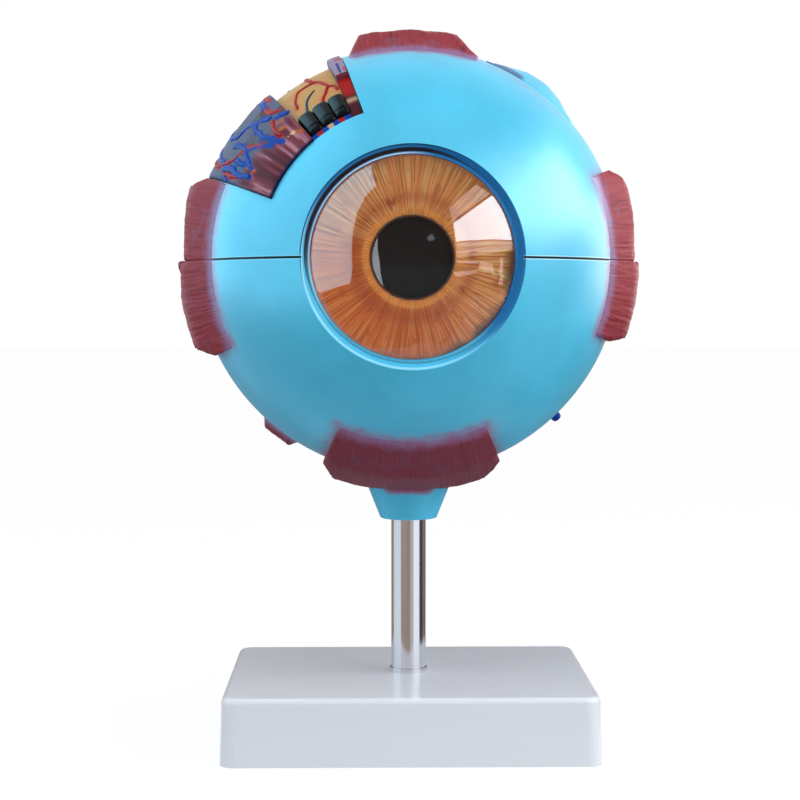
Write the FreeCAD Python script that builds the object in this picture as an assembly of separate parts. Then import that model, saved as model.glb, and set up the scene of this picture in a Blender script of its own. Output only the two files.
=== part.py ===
"""Dissectible eye model, six times life size, on a rod and a moulded base.

Millimetres. +Z is up, the eye looks along -Y and +X is the viewer's right.
The origin is on the rod's axis, in the plane that the base stands on.
A place on the eye is given by phi, its angle from the optical axis (-Y),
and theta, its angle round that axis from +X towards +Z.
"""
import FreeCAD, Part
import math
import os

V = FreeCAD.Vector

# Base: a hollow moulding, closed underneath by a cover.
BASE_WIDTH = 122.0
BASE_DEPTH = 93.0
BASE_HEIGHT = 22.0
BASE_SPREAD = 0.6           # each side stands this much further out at the bottom
BASE_CORNER_R = 5.0
BASE_EDGE_R = 1.8
BASE_WALL = 3.0
COVER_THICKNESS = 2.0
COVER_REBATE = 1.4          # how far the cover's edge reaches into the rim
BASE_BOSS_R = 11.0
RIB_THICKNESS = 2.4

# Rod, its collar and the screws and washers at its two ends.
ROD_R = 5.9
ROD_EXPOSED = 53.0
ROD_IN_BASE = 12.0
ROD_IN_BUSH = 10.5
ROD_CHAMFER = 0.6
COLLAR_WALL = 0.35
COLLAR_HEIGHT = 1.6
COLLAR_LIP = 0.3            # above the groove
COLLAR_GROOVE_WIDTH = 0.3
COLLAR_GROOVE_DEPTH = 0.17
SCREW_R = 2.5
SCREW_GRIP = 9.0            # length of screw inside the rod
SCREW_HEAD_R = 4.6
SCREW_HEAD_HEIGHT = 3.0
SCREW_CROWN_R = 1.0
DRIVE_SLOT = (1.2, 1.3)     # width and depth of the slot in a screw's head
WASHER_R = 6.2
WASHER_THICKNESS = 1.2
BOSS_FLOOR = 3.0            # floor under the rod inside the base

# Eyeball: 72 mm is six times the 12 mm radius of a real eye.
EYE_R = 72.0
SCLERA_WALL = 5.0
CHOROID_WALL = 2.5
RETINA_WALL = 1.5
RIM_R = 34.8                # outer edge of the corneal opening
BORE_R = 32.6               # bore that the cornea and the iris sit in
RIM_BEVEL_DEPTH = 2.5
SEAM_CHAMFER = 0.4
ORA_PHI = 50.0              # front edge of the retina

# Boss under the eyeball, with the bush that turns on the rod.
SOCKET_R = 9.6
SOCKET_DROP = 15.3          # from the eyeball's lowest point to the boss's end
SOCKET_FLARE = 0.4          # radius gained for each millimetre upwards
SOCKET_EDGE_R = 0.8
BUSH_R = 7.8
BUSH_FLOOR = 2.5
BUSH_RECESS = 0.5
SCREW_LEDGE = 2.5           # plastic between the bush and the washer

# Clearances.
RUNNING_GAP = 0.05          # rod in its bush, all round
BOND_GAP = 0.12             # glue line between pieces of one body
LIFT_GAP = 0.3              # between pieces that come apart
END_PLAY = 0.1
BOLT_GAP = 0.3

# Locating pins in the seam.
PIN_R = 1.25
PIN_SUNK = 4.0
PIN_PROUD = 3.0
PIN_CHAMFER = 0.4
PIN_BEARINGS = (-40.0, 35.0, 145.0, 220.0)

# Cornea, iris, ciliary body, lens and vitreous body.
CORNEA_CURVE_R = 46.8       # six times 7.8 mm
CORNEA_WALL = 2.0
CORNEA_FLANGE = 3.3
CORNEA_PROUD = 1.0          # the flange stands this far out of the bevel
PUPIL_R = 12.5
IRIS_THICKNESS = 1.7
IRIS_RELIEF = 0.35
COLLARETTE_R = 16.0
COLLARETTE_SLOPE = 3.0      # width of the ridge's outer slope
IRIS_LAND = 2.0             # flat edge under the cornea's flange
CILIARY_R = 27.2            # inner edge of the ciliary ring
CILIARY_DEPTH = 4.4
CILIARY_WAIST = (34.0, 8.4)  # radius, and distance behind the ring's front face
PROCESS_COUNT = 70
PROCESS_THICKNESS = 1.0
PROCESS_HEIGHT = 0.9
PROCESS_ROOT = 2.0          # how deep a fold is rooted in the ring
PROCESS_END = 2.0           # degrees from a fold's back end to the retina's edge
ORA_GAP = 0.5               # degrees between the ciliary ring and the retina
LENS_R = 25.0
LENS_FRONT_CURVE_R = 60.0
LENS_BACK_CURVE_R = 36.0
LENS_EDGE = 2.0
VITREOUS_LAND = 2.0         # flat ring round the mouth of the lens's hollow
VITREOUS_FRONT_PHI = 51.0

# Optic nerve, 15 degrees towards the nose.
NERVE_TURN = 15.0
NERVE_R = 9.0
NERVE_NECK_R = 5.0          # where it goes through the choroid and the retina
SHEATH_R = 12.0
SHEATH_ROOT_R = 15.0
SHEATH_ROOT_PROUD = 1.5     # the wide root's end, outside the sclera
SHEATH_FLARE = 7.0          # length of the curve from the root to the sheath
NERVE_STANDS_OUT = 24.0
NERVE_END = 1.5             # the nerve's end past its sheath
VESSEL_R = 1.1
VESSEL_OFFSET = 2.4
VESSEL_END = 1.0
VESSEL_SUNK = 10.0

# Window in the upper sclera, and the coats shown in it.
WINDOW_PHI = (41.0, 115.0)
WINDOW_THETA = (108.5, 157.5)
STEP_THETA = 130.0          # where the choroid ends and the retina is bare
CHOROID_PROUD = 1.0
RETINA_SUNK = 2.0
MARGIN_SUNK = 0.9
MARGIN_FRONT = 2.3          # degrees of phi
MARGIN_SIDE = 3.8           # degrees of theta
MARGIN_RAISED_PHI = 60.0
LOBE_COUNT = 3
LOBE_PHI = 8.6
LOBE_PROUD = 0.6
LOBE_EDGE_R = 1.6

# Muscle stubs: theta of the middle, phi of the front edge, and the outline
# seen from the front. Each of its points has its angle from the middle and
# how far it stands out of the sclera, as a share of the thickness.
MUSCLE_BACK = 22.0          # the cut ends, behind the equator
MUSCLE_THICKNESS = 6.0
MUSCLE_RISE = 14.0          # degrees between the front slope and the sclera
MUSCLE_EDGE_R = 1.4
MUSCLES = {
    "superior_rectus": (90.0, 71.0, [(-18.8, -0.2), (-11.8, 0.98), (0.0, 0.93), (12.5, 0.98), (16.9, -0.33)]),
    "inferior_rectus": (270.0, 53.0, [(-23.4, 0.0), (-19.4, 0.93), (-8.9, 0.97),
                                      (9.6, 0.98), (19.2, 0.98), (24.2, 0.0)]),
    "medial_rectus_upper": (180.0, 62.0, [(-22.2, -0.12), (-18.6, 0.98), (0.0, 0.43)]),
    "medial_rectus_lower": (180.0, 62.0, [(0.0, 0.57), (8.6, 0.85), (22.4, 0.88), (26.1, -0.12)]),
    "lateral_rectus_upper": (0.0, 63.0, [(0.0, 0.48), (20.0, 0.98), (24.5, 0.0)]),
    "lateral_rectus_lower": (0.0, 63.0, [(-22.0, -0.13), (-19.2, 0.98), (0.0, 0.77)]),
    "superior_oblique": (56.0, 76.0, [(-15.7, 0.0), (-10.9, 0.5), (-4.9, 0.8), (1.9, 0.77), (13.1, 0.0)]),
    "inferior_oblique": (233.0, 84.0, [(-7.3, -0.23), (-4.2, 0.53), (3.8, 0.53), (6.5, -0.25)]),
}
VEIN_R = 2.4
VEIN_TIP_R = 1.7
VEIN_PROUD = 4.0
VEIN_ROOT = 2.0             # length that starts inside the sclera
VEIN_LEAN = 0.6             # run backwards for each millimetre outwards
VEINS_LOWER = ((314.0, 96.0), (222.0, 122.0))     # theta, phi
VEINS_UPPER = ((38.0, 112.0), (140.0, 124.0))

# Where the join line of a turned form is put, clear of what is cut from it,
# and how far a cutting form reaches past what it cuts.
COAT_JOIN_BEARING = 60.0
BALL_JOIN_THETA = 32.0
OVERCUT = 5.0

# Places worked out from the sizes above.
ROD_FOOT_Z = BASE_HEIGHT - ROD_IN_BASE
SOCKET_END_Z = BASE_HEIGHT + ROD_EXPOSED
ROD_TOP_Z = SOCKET_END_Z + ROD_IN_BUSH
BUSH_TOP_Z = ROD_TOP_Z + BUSH_FLOOR
LEDGE_TOP_Z = BUSH_TOP_Z + SCREW_LEDGE
EYE_Z = SOCKET_END_Z + SOCKET_DROP + EYE_R
EYE = V(0, 0, EYE_Z)
SCLERA_IN_R = EYE_R - SCLERA_WALL
CHOROID_R = SCLERA_IN_R - BOND_GAP
CHOROID_IN_R = CHOROID_R - CHOROID_WALL
RETINA_R = CHOROID_IN_R - BOND_GAP
RETINA_IN_R = RETINA_R - RETINA_WALL
VITREOUS_R = RETINA_IN_R - LIFT_GAP
RIM_Y = -math.sqrt(EYE_R ** 2 - RIM_R ** 2)
BEVEL_Y = RIM_Y + RIM_BEVEL_DEPTH
CORNEA_R = BORE_R - LIFT_GAP
CORNEA_EDGE_Y = BEVEL_Y - CORNEA_PROUD
CORNEA_BACK_Y = CORNEA_EDGE_Y + CORNEA_FLANGE
IRIS_R = CORNEA_R - LIFT_GAP
IRIS_FRONT_Y = CORNEA_BACK_Y + LIFT_GAP + IRIS_RELIEF
IRIS_BACK_Y = IRIS_FRONT_Y + IRIS_THICKNESS
CILIARY_FRONT_Y = IRIS_BACK_Y + LIFT_GAP / 2
LENS_FRONT_Y = IRIS_BACK_Y + LIFT_GAP
WINDOW_FLOOR_R = SCLERA_IN_R + BOND_GAP
EDGE_GAP = math.degrees(BOND_GAP / EYE_R)
BACK_PHI = WINDOW_PHI[1] - EDGE_GAP
FRONT_PHI = WINDOW_PHI[0] + EDGE_GAP
SIDE_THETA = (WINDOW_THETA[0] + 2 * EDGE_GAP, WINDOW_THETA[1] - 2 * EDGE_GAP)


def polar(radius, phi):
    """Distance from the optical axis, and y, of a point on a sphere about the eye's centre."""
    angle = math.radians(phi)
    return radius * math.sin(angle), -radius * math.cos(angle)


def around_axis(rho, y, theta=0.0):
    """Point at distance rho from the optical axis."""
    angle = math.radians(theta)
    return EYE + V(rho * math.cos(angle), y, rho * math.sin(angle))


def on_sphere(radius, y):
    """Distance from the optical axis at which a sphere about the eye's centre has this y."""
    return math.sqrt(radius ** 2 - y ** 2)


def closed_face(points):
    """Flat face inside a closed chain of points."""
    return Part.Face(Part.makePolygon(points + [points[0]]))


def arc_edge(start, middle, end):
    return Part.Arc(start, middle, end).toShape()


def line_edge(start, end):
    return Part.LineSegment(start, end).toShape()


def ball(radius):
    """Sphere about the eye's centre, whose join lies where no muscle crosses it."""
    poles_and_side = ((0, radius), (radius, 0), (0, -radius))
    back, side, front = (around_axis(rho, y, BALL_JOIN_THETA) for rho, y in poles_and_side)
    return spin(Part.Face(Part.Wire([arc_edge(back, side, front), line_edge(front, back)])))


def spin(face, theta_span=360.0):
    """Turns a face round the optical axis, from its own plane towards +Z."""
    return face.revolve(EYE, V(0, -1, 0), theta_span)


def patch(inner, outer, phis, thetas):
    """Part of a spherical shell between two phis and two thetas."""
    middle = sum(phis) / 2

    def at(radius, phi):
        return around_axis(*polar(radius, phi), thetas[0])

    edges = [arc_edge(at(outer, phis[0]), at(outer, middle), at(outer, phis[1])),
             line_edge(at(outer, phis[1]), at(inner, phis[1])),
             arc_edge(at(inner, phis[1]), at(inner, middle), at(inner, phis[0])),
             line_edge(at(inner, phis[0]), at(outer, phis[0]))]
    return spin(Part.Face(Part.Wire(edges)), thetas[1] - thetas[0])


def upright(radius, low, high):
    """Cylinder on the rod's axis."""
    return Part.makeCylinder(radius, high - low, V(0, 0, low))


def along_nerve(radius, start, end):
    """Cylinder along the optic nerve, between two distances from the eye's centre."""
    rod = Part.makeCylinder(radius, end - start, EYE + V(0, start, 0), V(0, 1, 0))
    rod.rotate(EYE, V(0, 0, 1), NERVE_TURN)
    return rod


def pin_places():
    """Centres of the locating pins, in the seam."""
    radius = EYE_R - SCLERA_WALL / 2
    angles = [math.radians(bearing) for bearing in PIN_BEARINGS]
    return [EYE + V(radius * math.cos(a), radius * math.sin(a), 0) for a in angles]


# ---------------------------------------------------------------- the stand

def rounded_rectangle(width, depth, corner, z):
    x, y = width / 2, depth / 2
    k = corner * (1 - math.sqrt(0.5))
    edges = []
    for sx, sy in ((1, 1), (-1, 1), (-1, -1), (1, -1)):
        on_x_side = V(sx * x, sy * (y - corner), z)
        on_y_side = V(sx * (x - corner), sy * y, z)
        middle = V(sx * (x - k), sy * (y - k), z)
        first, last = (on_x_side, on_y_side) if sx == sy else (on_y_side, on_x_side)
        if edges:
            edges.append(line_edge(edges[-1].Vertexes[-1].Point, first))
        edges.append(arc_edge(first, middle, last))
    edges.append(line_edge(edges[-1].Vertexes[-1].Point, edges[0].Vertexes[0].Point))
    return Part.Wire(edges)


def tapered_block(inset, low, high):
    """The base's outer form, all its sides moved in by inset, between two heights."""
    wires = []
    for z in (low, high):
        growth = 2 * (BASE_SPREAD * (1 - z / BASE_HEIGHT) - inset)
        wires.append(rounded_rectangle(BASE_WIDTH + growth, BASE_DEPTH + growth, BASE_CORNER_R - inset, z))
    return Part.makeLoft(wires, True, True)


def base():
    block = tapered_block(0, 0, BASE_HEIGHT)
    top_edges = [e for e in block.Edges if min(v.Z for v in e.Vertexes) > BASE_HEIGHT - 0.01]
    block = block.makeFillet(BASE_EDGE_R, top_edges)
    hollow = tapered_block(BASE_WALL, COVER_THICKNESS, BASE_HEIGHT - BASE_WALL)
    rebate = tapered_block(BASE_WALL - COVER_REBATE, 0, COVER_THICKNESS + BOND_GAP)
    shell = block.cut(hollow).cut(rebate)
    inside_top = BASE_HEIGHT - BASE_WALL / 2
    rib_z = COVER_THICKNESS + END_PLAY + BOND_GAP
    long_rib = Part.makeBox(BASE_WIDTH - BASE_WALL, RIB_THICKNESS, inside_top - rib_z,
                            V(-(BASE_WIDTH - BASE_WALL) / 2, -RIB_THICKNESS / 2, rib_z))
    short_rib = Part.makeBox(RIB_THICKNESS, BASE_DEPTH - BASE_WALL, inside_top - rib_z,
                             V(-RIB_THICKNESS / 2, -(BASE_DEPTH - BASE_WALL) / 2, rib_z))
    boss = upright(BASE_BOSS_R, rib_z, inside_top)
    shell = shell.fuse([long_rib, short_rib, boss])
    rod_bore = upright(ROD_R + BOND_GAP, ROD_FOOT_Z, BASE_HEIGHT + OVERCUT)
    screw_hole = upright(SCREW_R + BOLT_GAP, 0, ROD_FOOT_Z + BOND_GAP)
    head_room = upright(WASHER_R + BOLT_GAP, 0, ROD_FOOT_Z - BOSS_FLOOR)
    return shell.cut([rod_bore, screw_hole, head_room]).removeSplitter()


def base_cover():
    return tapered_block(BASE_WALL - COVER_REBATE + BOND_GAP, 0, COVER_THICKNESS)


def rod():
    bar = upright(ROD_R, ROD_FOOT_Z, ROD_TOP_Z)
    ends = [e for e in bar.Edges if len(e.Vertexes) == 1]
    bar = bar.makeChamfer(ROD_CHAMFER, ends)
    foot_hole = upright(SCREW_R, ROD_FOOT_Z, ROD_FOOT_Z + SCREW_GRIP + BOLT_GAP)
    top_hole = upright(SCREW_R, ROD_TOP_Z - SCREW_GRIP - BOLT_GAP, ROD_TOP_Z)
    return bar.cut([foot_hole, top_hole])


def rod_collar():
    """Thin ring round the rod's foot, with a groove under its upper lip."""
    outer = ROD_R + BOND_GAP + COLLAR_WALL
    top_z = BASE_HEIGHT + COLLAR_HEIGHT
    groove_top = top_z - COLLAR_LIP
    groove_low = groove_top - COLLAR_GROOVE_WIDTH
    groove = upright(outer + OVERCUT, groove_low, groove_top)
    groove = groove.cut(upright(outer - COLLAR_GROOVE_DEPTH, groove_low, groove_top))
    bore = upright(ROD_R + BOND_GAP, BASE_HEIGHT, top_z)
    return upright(outer, BASE_HEIGHT, top_z).cut([groove, bore])


def pan_head_screw(seat_z, grip_end_z):
    """Screw whose head stands on seat_z, away from the end of its thread."""
    way = 1 if seat_z > grip_end_z else -1
    head_top = seat_z + way * SCREW_HEAD_HEIGHT
    head = upright(SCREW_HEAD_R, min(seat_z, head_top), max(seat_z, head_top))
    crown = [e for e in head.Edges if len(e.Vertexes) == 1 and abs(e.Vertexes[0].Z - head_top) < 0.01]
    head = head.makeFillet(SCREW_CROWN_R, crown)
    shank = upright(SCREW_R - RUNNING_GAP, min(seat_z, grip_end_z), max(seat_z, grip_end_z))
    width, depth = DRIVE_SLOT
    slot = Part.makeBox(2 * SCREW_HEAD_R, width, depth,
                        V(-SCREW_HEAD_R, -width / 2, min(head_top, head_top - way * depth)))
    return head.fuse(shank).cut(slot).removeSplitter()


def washer(low):
    return upright(WASHER_R, low, low + WASHER_THICKNESS).cut(
        upright(SCREW_R + BOLT_GAP, low, low + WASHER_THICKNESS))


def rod_washer():
    return washer(ROD_FOOT_Z - BOSS_FLOOR - WASHER_THICKNESS)


def rod_screw():
    return pan_head_screw(ROD_FOOT_Z - BOSS_FLOOR - WASHER_THICKNESS, ROD_FOOT_Z + SCREW_GRIP)


def eye_washer():
    return washer(LEDGE_TOP_Z + END_PLAY)


def eye_screw():
    return pan_head_screw(LEDGE_TOP_Z + END_PLAY + WASHER_THICKNESS, ROD_TOP_Z - SCREW_GRIP)


# ------------------------------------------------------ coats of the eyeball

def half_coat(outer, inner, side, chamfer=0.0):
    """Upper (side 1) or lower (side -1) half of a spherical coat, turned about the upright axis."""
    bearing = math.radians(COAT_JOIN_BEARING)

    def at(radius, height):
        flat = math.sqrt(radius ** 2 - height ** 2)
        return EYE + V(flat * math.cos(bearing), flat * math.sin(bearing), side * height)

    edges = [arc_edge(at(outer, chamfer), at(outer, outer / 2), at(outer, outer)),
             line_edge(at(outer, outer), at(inner, inner)),
             arc_edge(at(inner, inner), at(inner, inner / 2), at(inner, 0))]
    seam_start = at(outer - chamfer, 0)
    edges.append(line_edge(at(inner, 0), seam_start))
    if chamfer:
        edges.append(line_edge(seam_start, at(outer, chamfer)))
    return Part.Face(Part.Wire(edges)).revolve(EYE, V(0, 0, 1), 360)


def sclera_half(side):
    """Half of the sclera, with the bevelled opening for the cornea."""
    slope = (RIM_R - BORE_R) / RIM_BEVEL_DEPTH
    reach = EYE_R + RIM_Y + OVERCUT
    opening = revolved([(0, RIM_Y - reach), (RIM_R + slope * reach, RIM_Y - reach), (BORE_R, BEVEL_Y),
                        (BORE_R, -EYE_R / 2), (0, -EYE_R / 2)], {})
    return half_coat(EYE_R, SCLERA_IN_R, side, SEAM_CHAMFER).cut(opening)


def socket_cone(extra=0.0):
    """Flared boss that takes the rod, from its end up into the eyeball's wall."""
    height = SOCKET_DROP + 2 * SCLERA_WALL
    cone = Part.makeCone(SOCKET_R + extra, SOCKET_R + extra + SOCKET_FLARE * height, height,
                         V(0, 0, SOCKET_END_Z))
    rim = [e for e in cone.Edges if len(e.Vertexes) == 1 and abs(e.Vertexes[0].Z - SOCKET_END_Z) < 0.01]
    return cone.makeFillet(SOCKET_EDGE_R, rim)


def upper_sclera():
    half = sclera_half(1)
    window = patch(SCLERA_IN_R - OVERCUT, EYE_R + OVERCUT, WINDOW_PHI, WINDOW_THETA)
    sheath_notch = along_nerve(SHEATH_ROOT_R + LIFT_GAP, EYE_R / 2, EYE_R + OVERCUT)
    holes = [Part.makeCylinder(PIN_R + LIFT_GAP, PIN_PROUD + LIFT_GAP, p) for p in pin_places()]
    return half.cut([window, sheath_notch] + holes)


def lower_sclera():
    boss = socket_cone().cut(ball(EYE_R - SCLERA_WALL / 2))
    half = sclera_half(-1).fuse(boss)
    bush_bore = upright(BUSH_R + BOND_GAP, SOCKET_END_Z - OVERCUT, BUSH_TOP_Z)
    screw_hole = upright(SCREW_R + 2 * BOLT_GAP, BUSH_TOP_Z, LEDGE_TOP_Z)
    head_room = upright(WASHER_R + 2 * BOLT_GAP, LEDGE_TOP_Z, EYE_Z - SCLERA_IN_R + OVERCUT)
    sheath_notch = along_nerve(SHEATH_ROOT_R + BOND_GAP, EYE_R / 2, EYE_R + OVERCUT)
    holes = [Part.makeCylinder(PIN_R + RUNNING_GAP, PIN_SUNK, p - V(0, 0, PIN_SUNK)) for p in pin_places()]
    return half.cut([bush_bore, screw_hole, head_room, sheath_notch] + holes).removeSplitter()


def locating_pins():
    pins = []
    for place in pin_places():
        pin = Part.makeCylinder(PIN_R, PIN_SUNK + PIN_PROUD, place - V(0, 0, PIN_SUNK))
        tip = [e for e in pin.Edges if len(e.Vertexes) == 1 and e.Vertexes[0].Z > EYE_Z]
        pins.append(pin.makeChamfer(PIN_CHAMFER, tip))
    return Part.makeCompound(pins)


def socket_bush():
    low = SOCKET_END_Z + BUSH_RECESS
    body = upright(BUSH_R, low, BUSH_TOP_Z)
    return body.cut([upright(ROD_R + RUNNING_GAP, low, ROD_TOP_Z),
                     upright(SCREW_R + 2 * BOLT_GAP, low, BUSH_TOP_Z)])


def choroid_half(side, nerve_gap):
    opening = revolved([(0, -EYE_R), (BORE_R, -EYE_R), (BORE_R, -EYE_R / 2), (0, -EYE_R / 2)], {})
    return half_coat(CHOROID_R, CHOROID_IN_R, side).cut([opening, nerve_way(nerve_gap)])


def retina_half(side, nerve_gap):
    ahead = revolved([(0, 0), polar(2 * EYE_R, ORA_PHI), (0, polar(2 * EYE_R, ORA_PHI)[1])], {})
    return half_coat(RETINA_R, RETINA_IN_R, side).cut([ahead, nerve_way(nerve_gap)])


def nerve_way(gap):
    """Room for the nerve's neck through the two inner coats."""
    return along_nerve(NERVE_NECK_R + gap, EYE_R / 2, EYE_R)


def ciliary_half(theta):
    """Ring behind the iris, with the folds that hold the lens's threads."""
    middle_phi = (math.degrees(math.acos(-CILIARY_FRONT_Y / RETINA_R)) + ORA_PHI) / 2
    waist = (CILIARY_WAIST[0], CILIARY_FRONT_Y + CILIARY_WAIST[1])
    inner_back = (CILIARY_R, CILIARY_FRONT_Y + CILIARY_DEPTH)
    back_phi = ORA_PHI - ORA_GAP
    corners = [polar(RETINA_R, back_phi), polar(RETINA_IN_R, back_phi), waist, inner_back,
               (CILIARY_R, CILIARY_FRONT_Y), (on_sphere(RETINA_R, CILIARY_FRONT_Y), CILIARY_FRONT_Y)]
    points = [around_axis(rho, y, theta) for rho, y in corners]
    edges = [line_edge(a, b) for a, b in zip(points, points[1:])]
    edges.append(arc_edge(points[-1], around_axis(*polar(RETINA_R, middle_phi), theta), points[0]))
    ring = spin(Part.Face(Part.Wire(edges)), 180.0)
    return ring.multiFuse(ciliary_processes(theta, waist, inner_back))


def ciliary_processes(theta, waist, inner_back):
    """Thin radial folds on the ring's inner face, for half of the ring."""
    outline = [(CILIARY_R - PROCESS_HEIGHT / 2, inner_back[1] - PROCESS_ROOT),
               (CILIARY_R - PROCESS_HEIGHT / 2, inner_back[1] + PROCESS_HEIGHT),
               (waist[0], waist[1] + PROCESS_HEIGHT),
               polar(RETINA_IN_R, ORA_PHI - PROCESS_END),
               (waist[0] + PROCESS_ROOT, waist[1] - PROCESS_ROOT),
               (CILIARY_R + PROCESS_ROOT, inner_back[1] - PROCESS_ROOT)]
    face = closed_face([around_axis(rho, y) - V(0, 0, PROCESS_THICKNESS / 2) for rho, y in outline])
    fold = face.extrude(V(0, 0, PROCESS_THICKNESS))
    pitch = 360.0 / PROCESS_COUNT
    folds = []
    for index in range(PROCESS_COUNT // 2):
        copy = fold.copy()
        copy.rotate(EYE, V(0, -1, 0), theta + pitch * (index + 0.5))
        folds.append(copy)
    return folds


# ----------------------------------------------------- cornea to vitreous body

def cap_centre(radius, edge_r, edge_y):
    """Centre's y of a sphere that bulges forwards from a circle of radius edge_r at edge_y."""
    return edge_y + math.sqrt(radius ** 2 - edge_r ** 2)


def revolved(corners, arcs):
    """Solid of revolution about the optical axis.

    arcs maps the index of a corner to the middle point of the arc that leaves it."""
    points = [around_axis(*c) for c in corners]
    edges = []
    for index, start in enumerate(points):
        end = points[(index + 1) % len(points)]
        if index in arcs:
            edges.append(arc_edge(start, around_axis(*arcs[index]), end))
        else:
            edges.append(line_edge(start, end))
    return spin(Part.Face(Part.Wire(edges)))


def arc_middle(centre_y, radius, rho, side):
    """Point half-way out along a cap's arc; side is -1 for a cap that bulges forwards."""
    return rho / 2, centre_y + side * math.sqrt(radius ** 2 - (rho / 2) ** 2)


def cornea():
    centre = cap_centre(CORNEA_CURVE_R, CORNEA_R, CORNEA_EDGE_Y)
    inner_curve = CORNEA_CURVE_R - CORNEA_WALL
    inner_r = CORNEA_R - CORNEA_WALL
    inner_edge_y = centre - math.sqrt(inner_curve ** 2 - inner_r ** 2)
    corners = [(0, centre - CORNEA_CURVE_R), (CORNEA_R, CORNEA_EDGE_Y), (CORNEA_R, CORNEA_BACK_Y),
               (inner_r, CORNEA_BACK_Y), (inner_r, inner_edge_y), (0, centre - inner_curve)]
    return revolved(corners, {0: arc_middle(centre, CORNEA_CURVE_R, CORNEA_R, -1),
                              4: arc_middle(centre, inner_curve, inner_r, -1)})


def iris():
    """Disc with the pupil in it and a low ridge, the collarette, round the pupil."""
    corners = [(PUPIL_R, IRIS_FRONT_Y), (COLLARETTE_R, IRIS_FRONT_Y - IRIS_RELIEF),
               (COLLARETTE_R + COLLARETTE_SLOPE, IRIS_FRONT_Y - IRIS_RELIEF / 3),
               (IRIS_R - IRIS_LAND, IRIS_FRONT_Y),
               (IRIS_R, IRIS_FRONT_Y), (IRIS_R, IRIS_BACK_Y), (PUPIL_R, IRIS_BACK_Y)]
    return revolved(corners, {})


def lens_levels():
    """The y of the lens's front edge, back edge and back pole."""
    front_edge = LENS_FRONT_Y + LENS_FRONT_CURVE_R - math.sqrt(LENS_FRONT_CURVE_R ** 2 - LENS_R ** 2)
    back_edge = front_edge + LENS_EDGE
    back_pole = back_edge + LENS_BACK_CURVE_R - math.sqrt(LENS_BACK_CURVE_R ** 2 - LENS_R ** 2)
    return front_edge, back_edge, back_pole


def lens():
    front_edge, back_edge, back_pole = lens_levels()
    corners = [(0, LENS_FRONT_Y), (LENS_R, front_edge), (LENS_R, back_edge), (0, back_pole)]
    front_middle = arc_middle(LENS_FRONT_Y + LENS_FRONT_CURVE_R, LENS_FRONT_CURVE_R, LENS_R, -1)
    back_middle = arc_middle(back_pole - LENS_BACK_CURVE_R, LENS_BACK_CURVE_R, LENS_R, 1)
    return revolved(corners, {0: front_middle, 2: back_middle})


def vitreous_body():
    """Clear ball with a hollow in front that the back of the lens lies in."""
    back_edge, back_pole = lens_levels()[1:]
    centre = back_pole - LENS_BACK_CURVE_R
    hollow_r = LENS_BACK_CURVE_R + LIFT_GAP
    mouth_y = back_edge + LIFT_GAP
    mouth_r = math.sqrt(hollow_r ** 2 - (mouth_y - centre) ** 2)
    shoulder = polar(VITREOUS_R, VITREOUS_FRONT_PHI)
    corners = [(0, centre + hollow_r), (mouth_r, mouth_y), (mouth_r + VITREOUS_LAND, mouth_y),
               shoulder, (0, VITREOUS_R)]
    return revolved(corners, {0: arc_middle(centre, hollow_r, mouth_r, 1),
                              3: polar(VITREOUS_R, (VITREOUS_FRONT_PHI + 180) / 2)})


# ------------------------------------------------------ outside of the eyeball

def optic_nerve_sheath():
    """Outer coat of the nerve: fills its notch in the wall, then narrows in a curve."""
    start = EYE_R / 2
    root = EYE_R + SHEATH_ROOT_PROUD
    neck = root + SHEATH_FLARE
    end = EYE_R + NERVE_STANDS_OUT
    bore_r = NERVE_R + BOND_GAP
    step = SHEATH_ROOT_R - SHEATH_R
    curve_r = (step ** 2 + SHEATH_FLARE ** 2) / (2 * step)
    half_turn = math.atan2(SHEATH_FLARE, curve_r - step) / 2
    bend = (SHEATH_R + curve_r * (1 - math.cos(half_turn)), neck - curve_r * math.sin(half_turn))
    corners = [(SHEATH_ROOT_R, start), (SHEATH_ROOT_R, root), (SHEATH_R, neck), (SHEATH_R, end),
               (bore_r, end), (bore_r, start)]
    sheath = revolved(corners, {1: bend})
    sheath.rotate(EYE, V(0, 0, 1), NERVE_TURN)
    return sheath.cut(lift_room())


def optic_nerve():
    neck = along_nerve(NERVE_NECK_R, EYE_R / 2, EYE_R).cut(ball(RETINA_IN_R))
    trunk = along_nerve(NERVE_R, EYE_R / 2, EYE_R + NERVE_STANDS_OUT + NERVE_END)
    trunk = trunk.cut(lift_room())
    holes = [nerve_vessel(side, BOND_GAP) for side in (-1, 1)]
    return neck.fuse(trunk).removeSplitter().cut(holes)


def lift_room():
    """Room for the inner coats to pass the nerve as the upper half is lifted straight up."""
    return upright(SCLERA_IN_R + LIFT_GAP, EYE_Z - EYE_R / 2, EYE_Z + EYE_R / 2)


def nerve_vessel(side, extra=0.0):
    """Artery or vein in the middle of the nerve, seen at its cut end."""
    end = EYE_R + NERVE_STANDS_OUT + NERVE_END
    start = end - VESSEL_SUNK - extra
    vessel = Part.makeCylinder(VESSEL_R + extra, VESSEL_SUNK + VESSEL_END + extra,
                               EYE + V(side * VESSEL_OFFSET, start, 0), V(0, 1, 0))
    vessel.rotate(EYE, V(0, 0, 1), NERVE_TURN)
    return vessel


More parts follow.
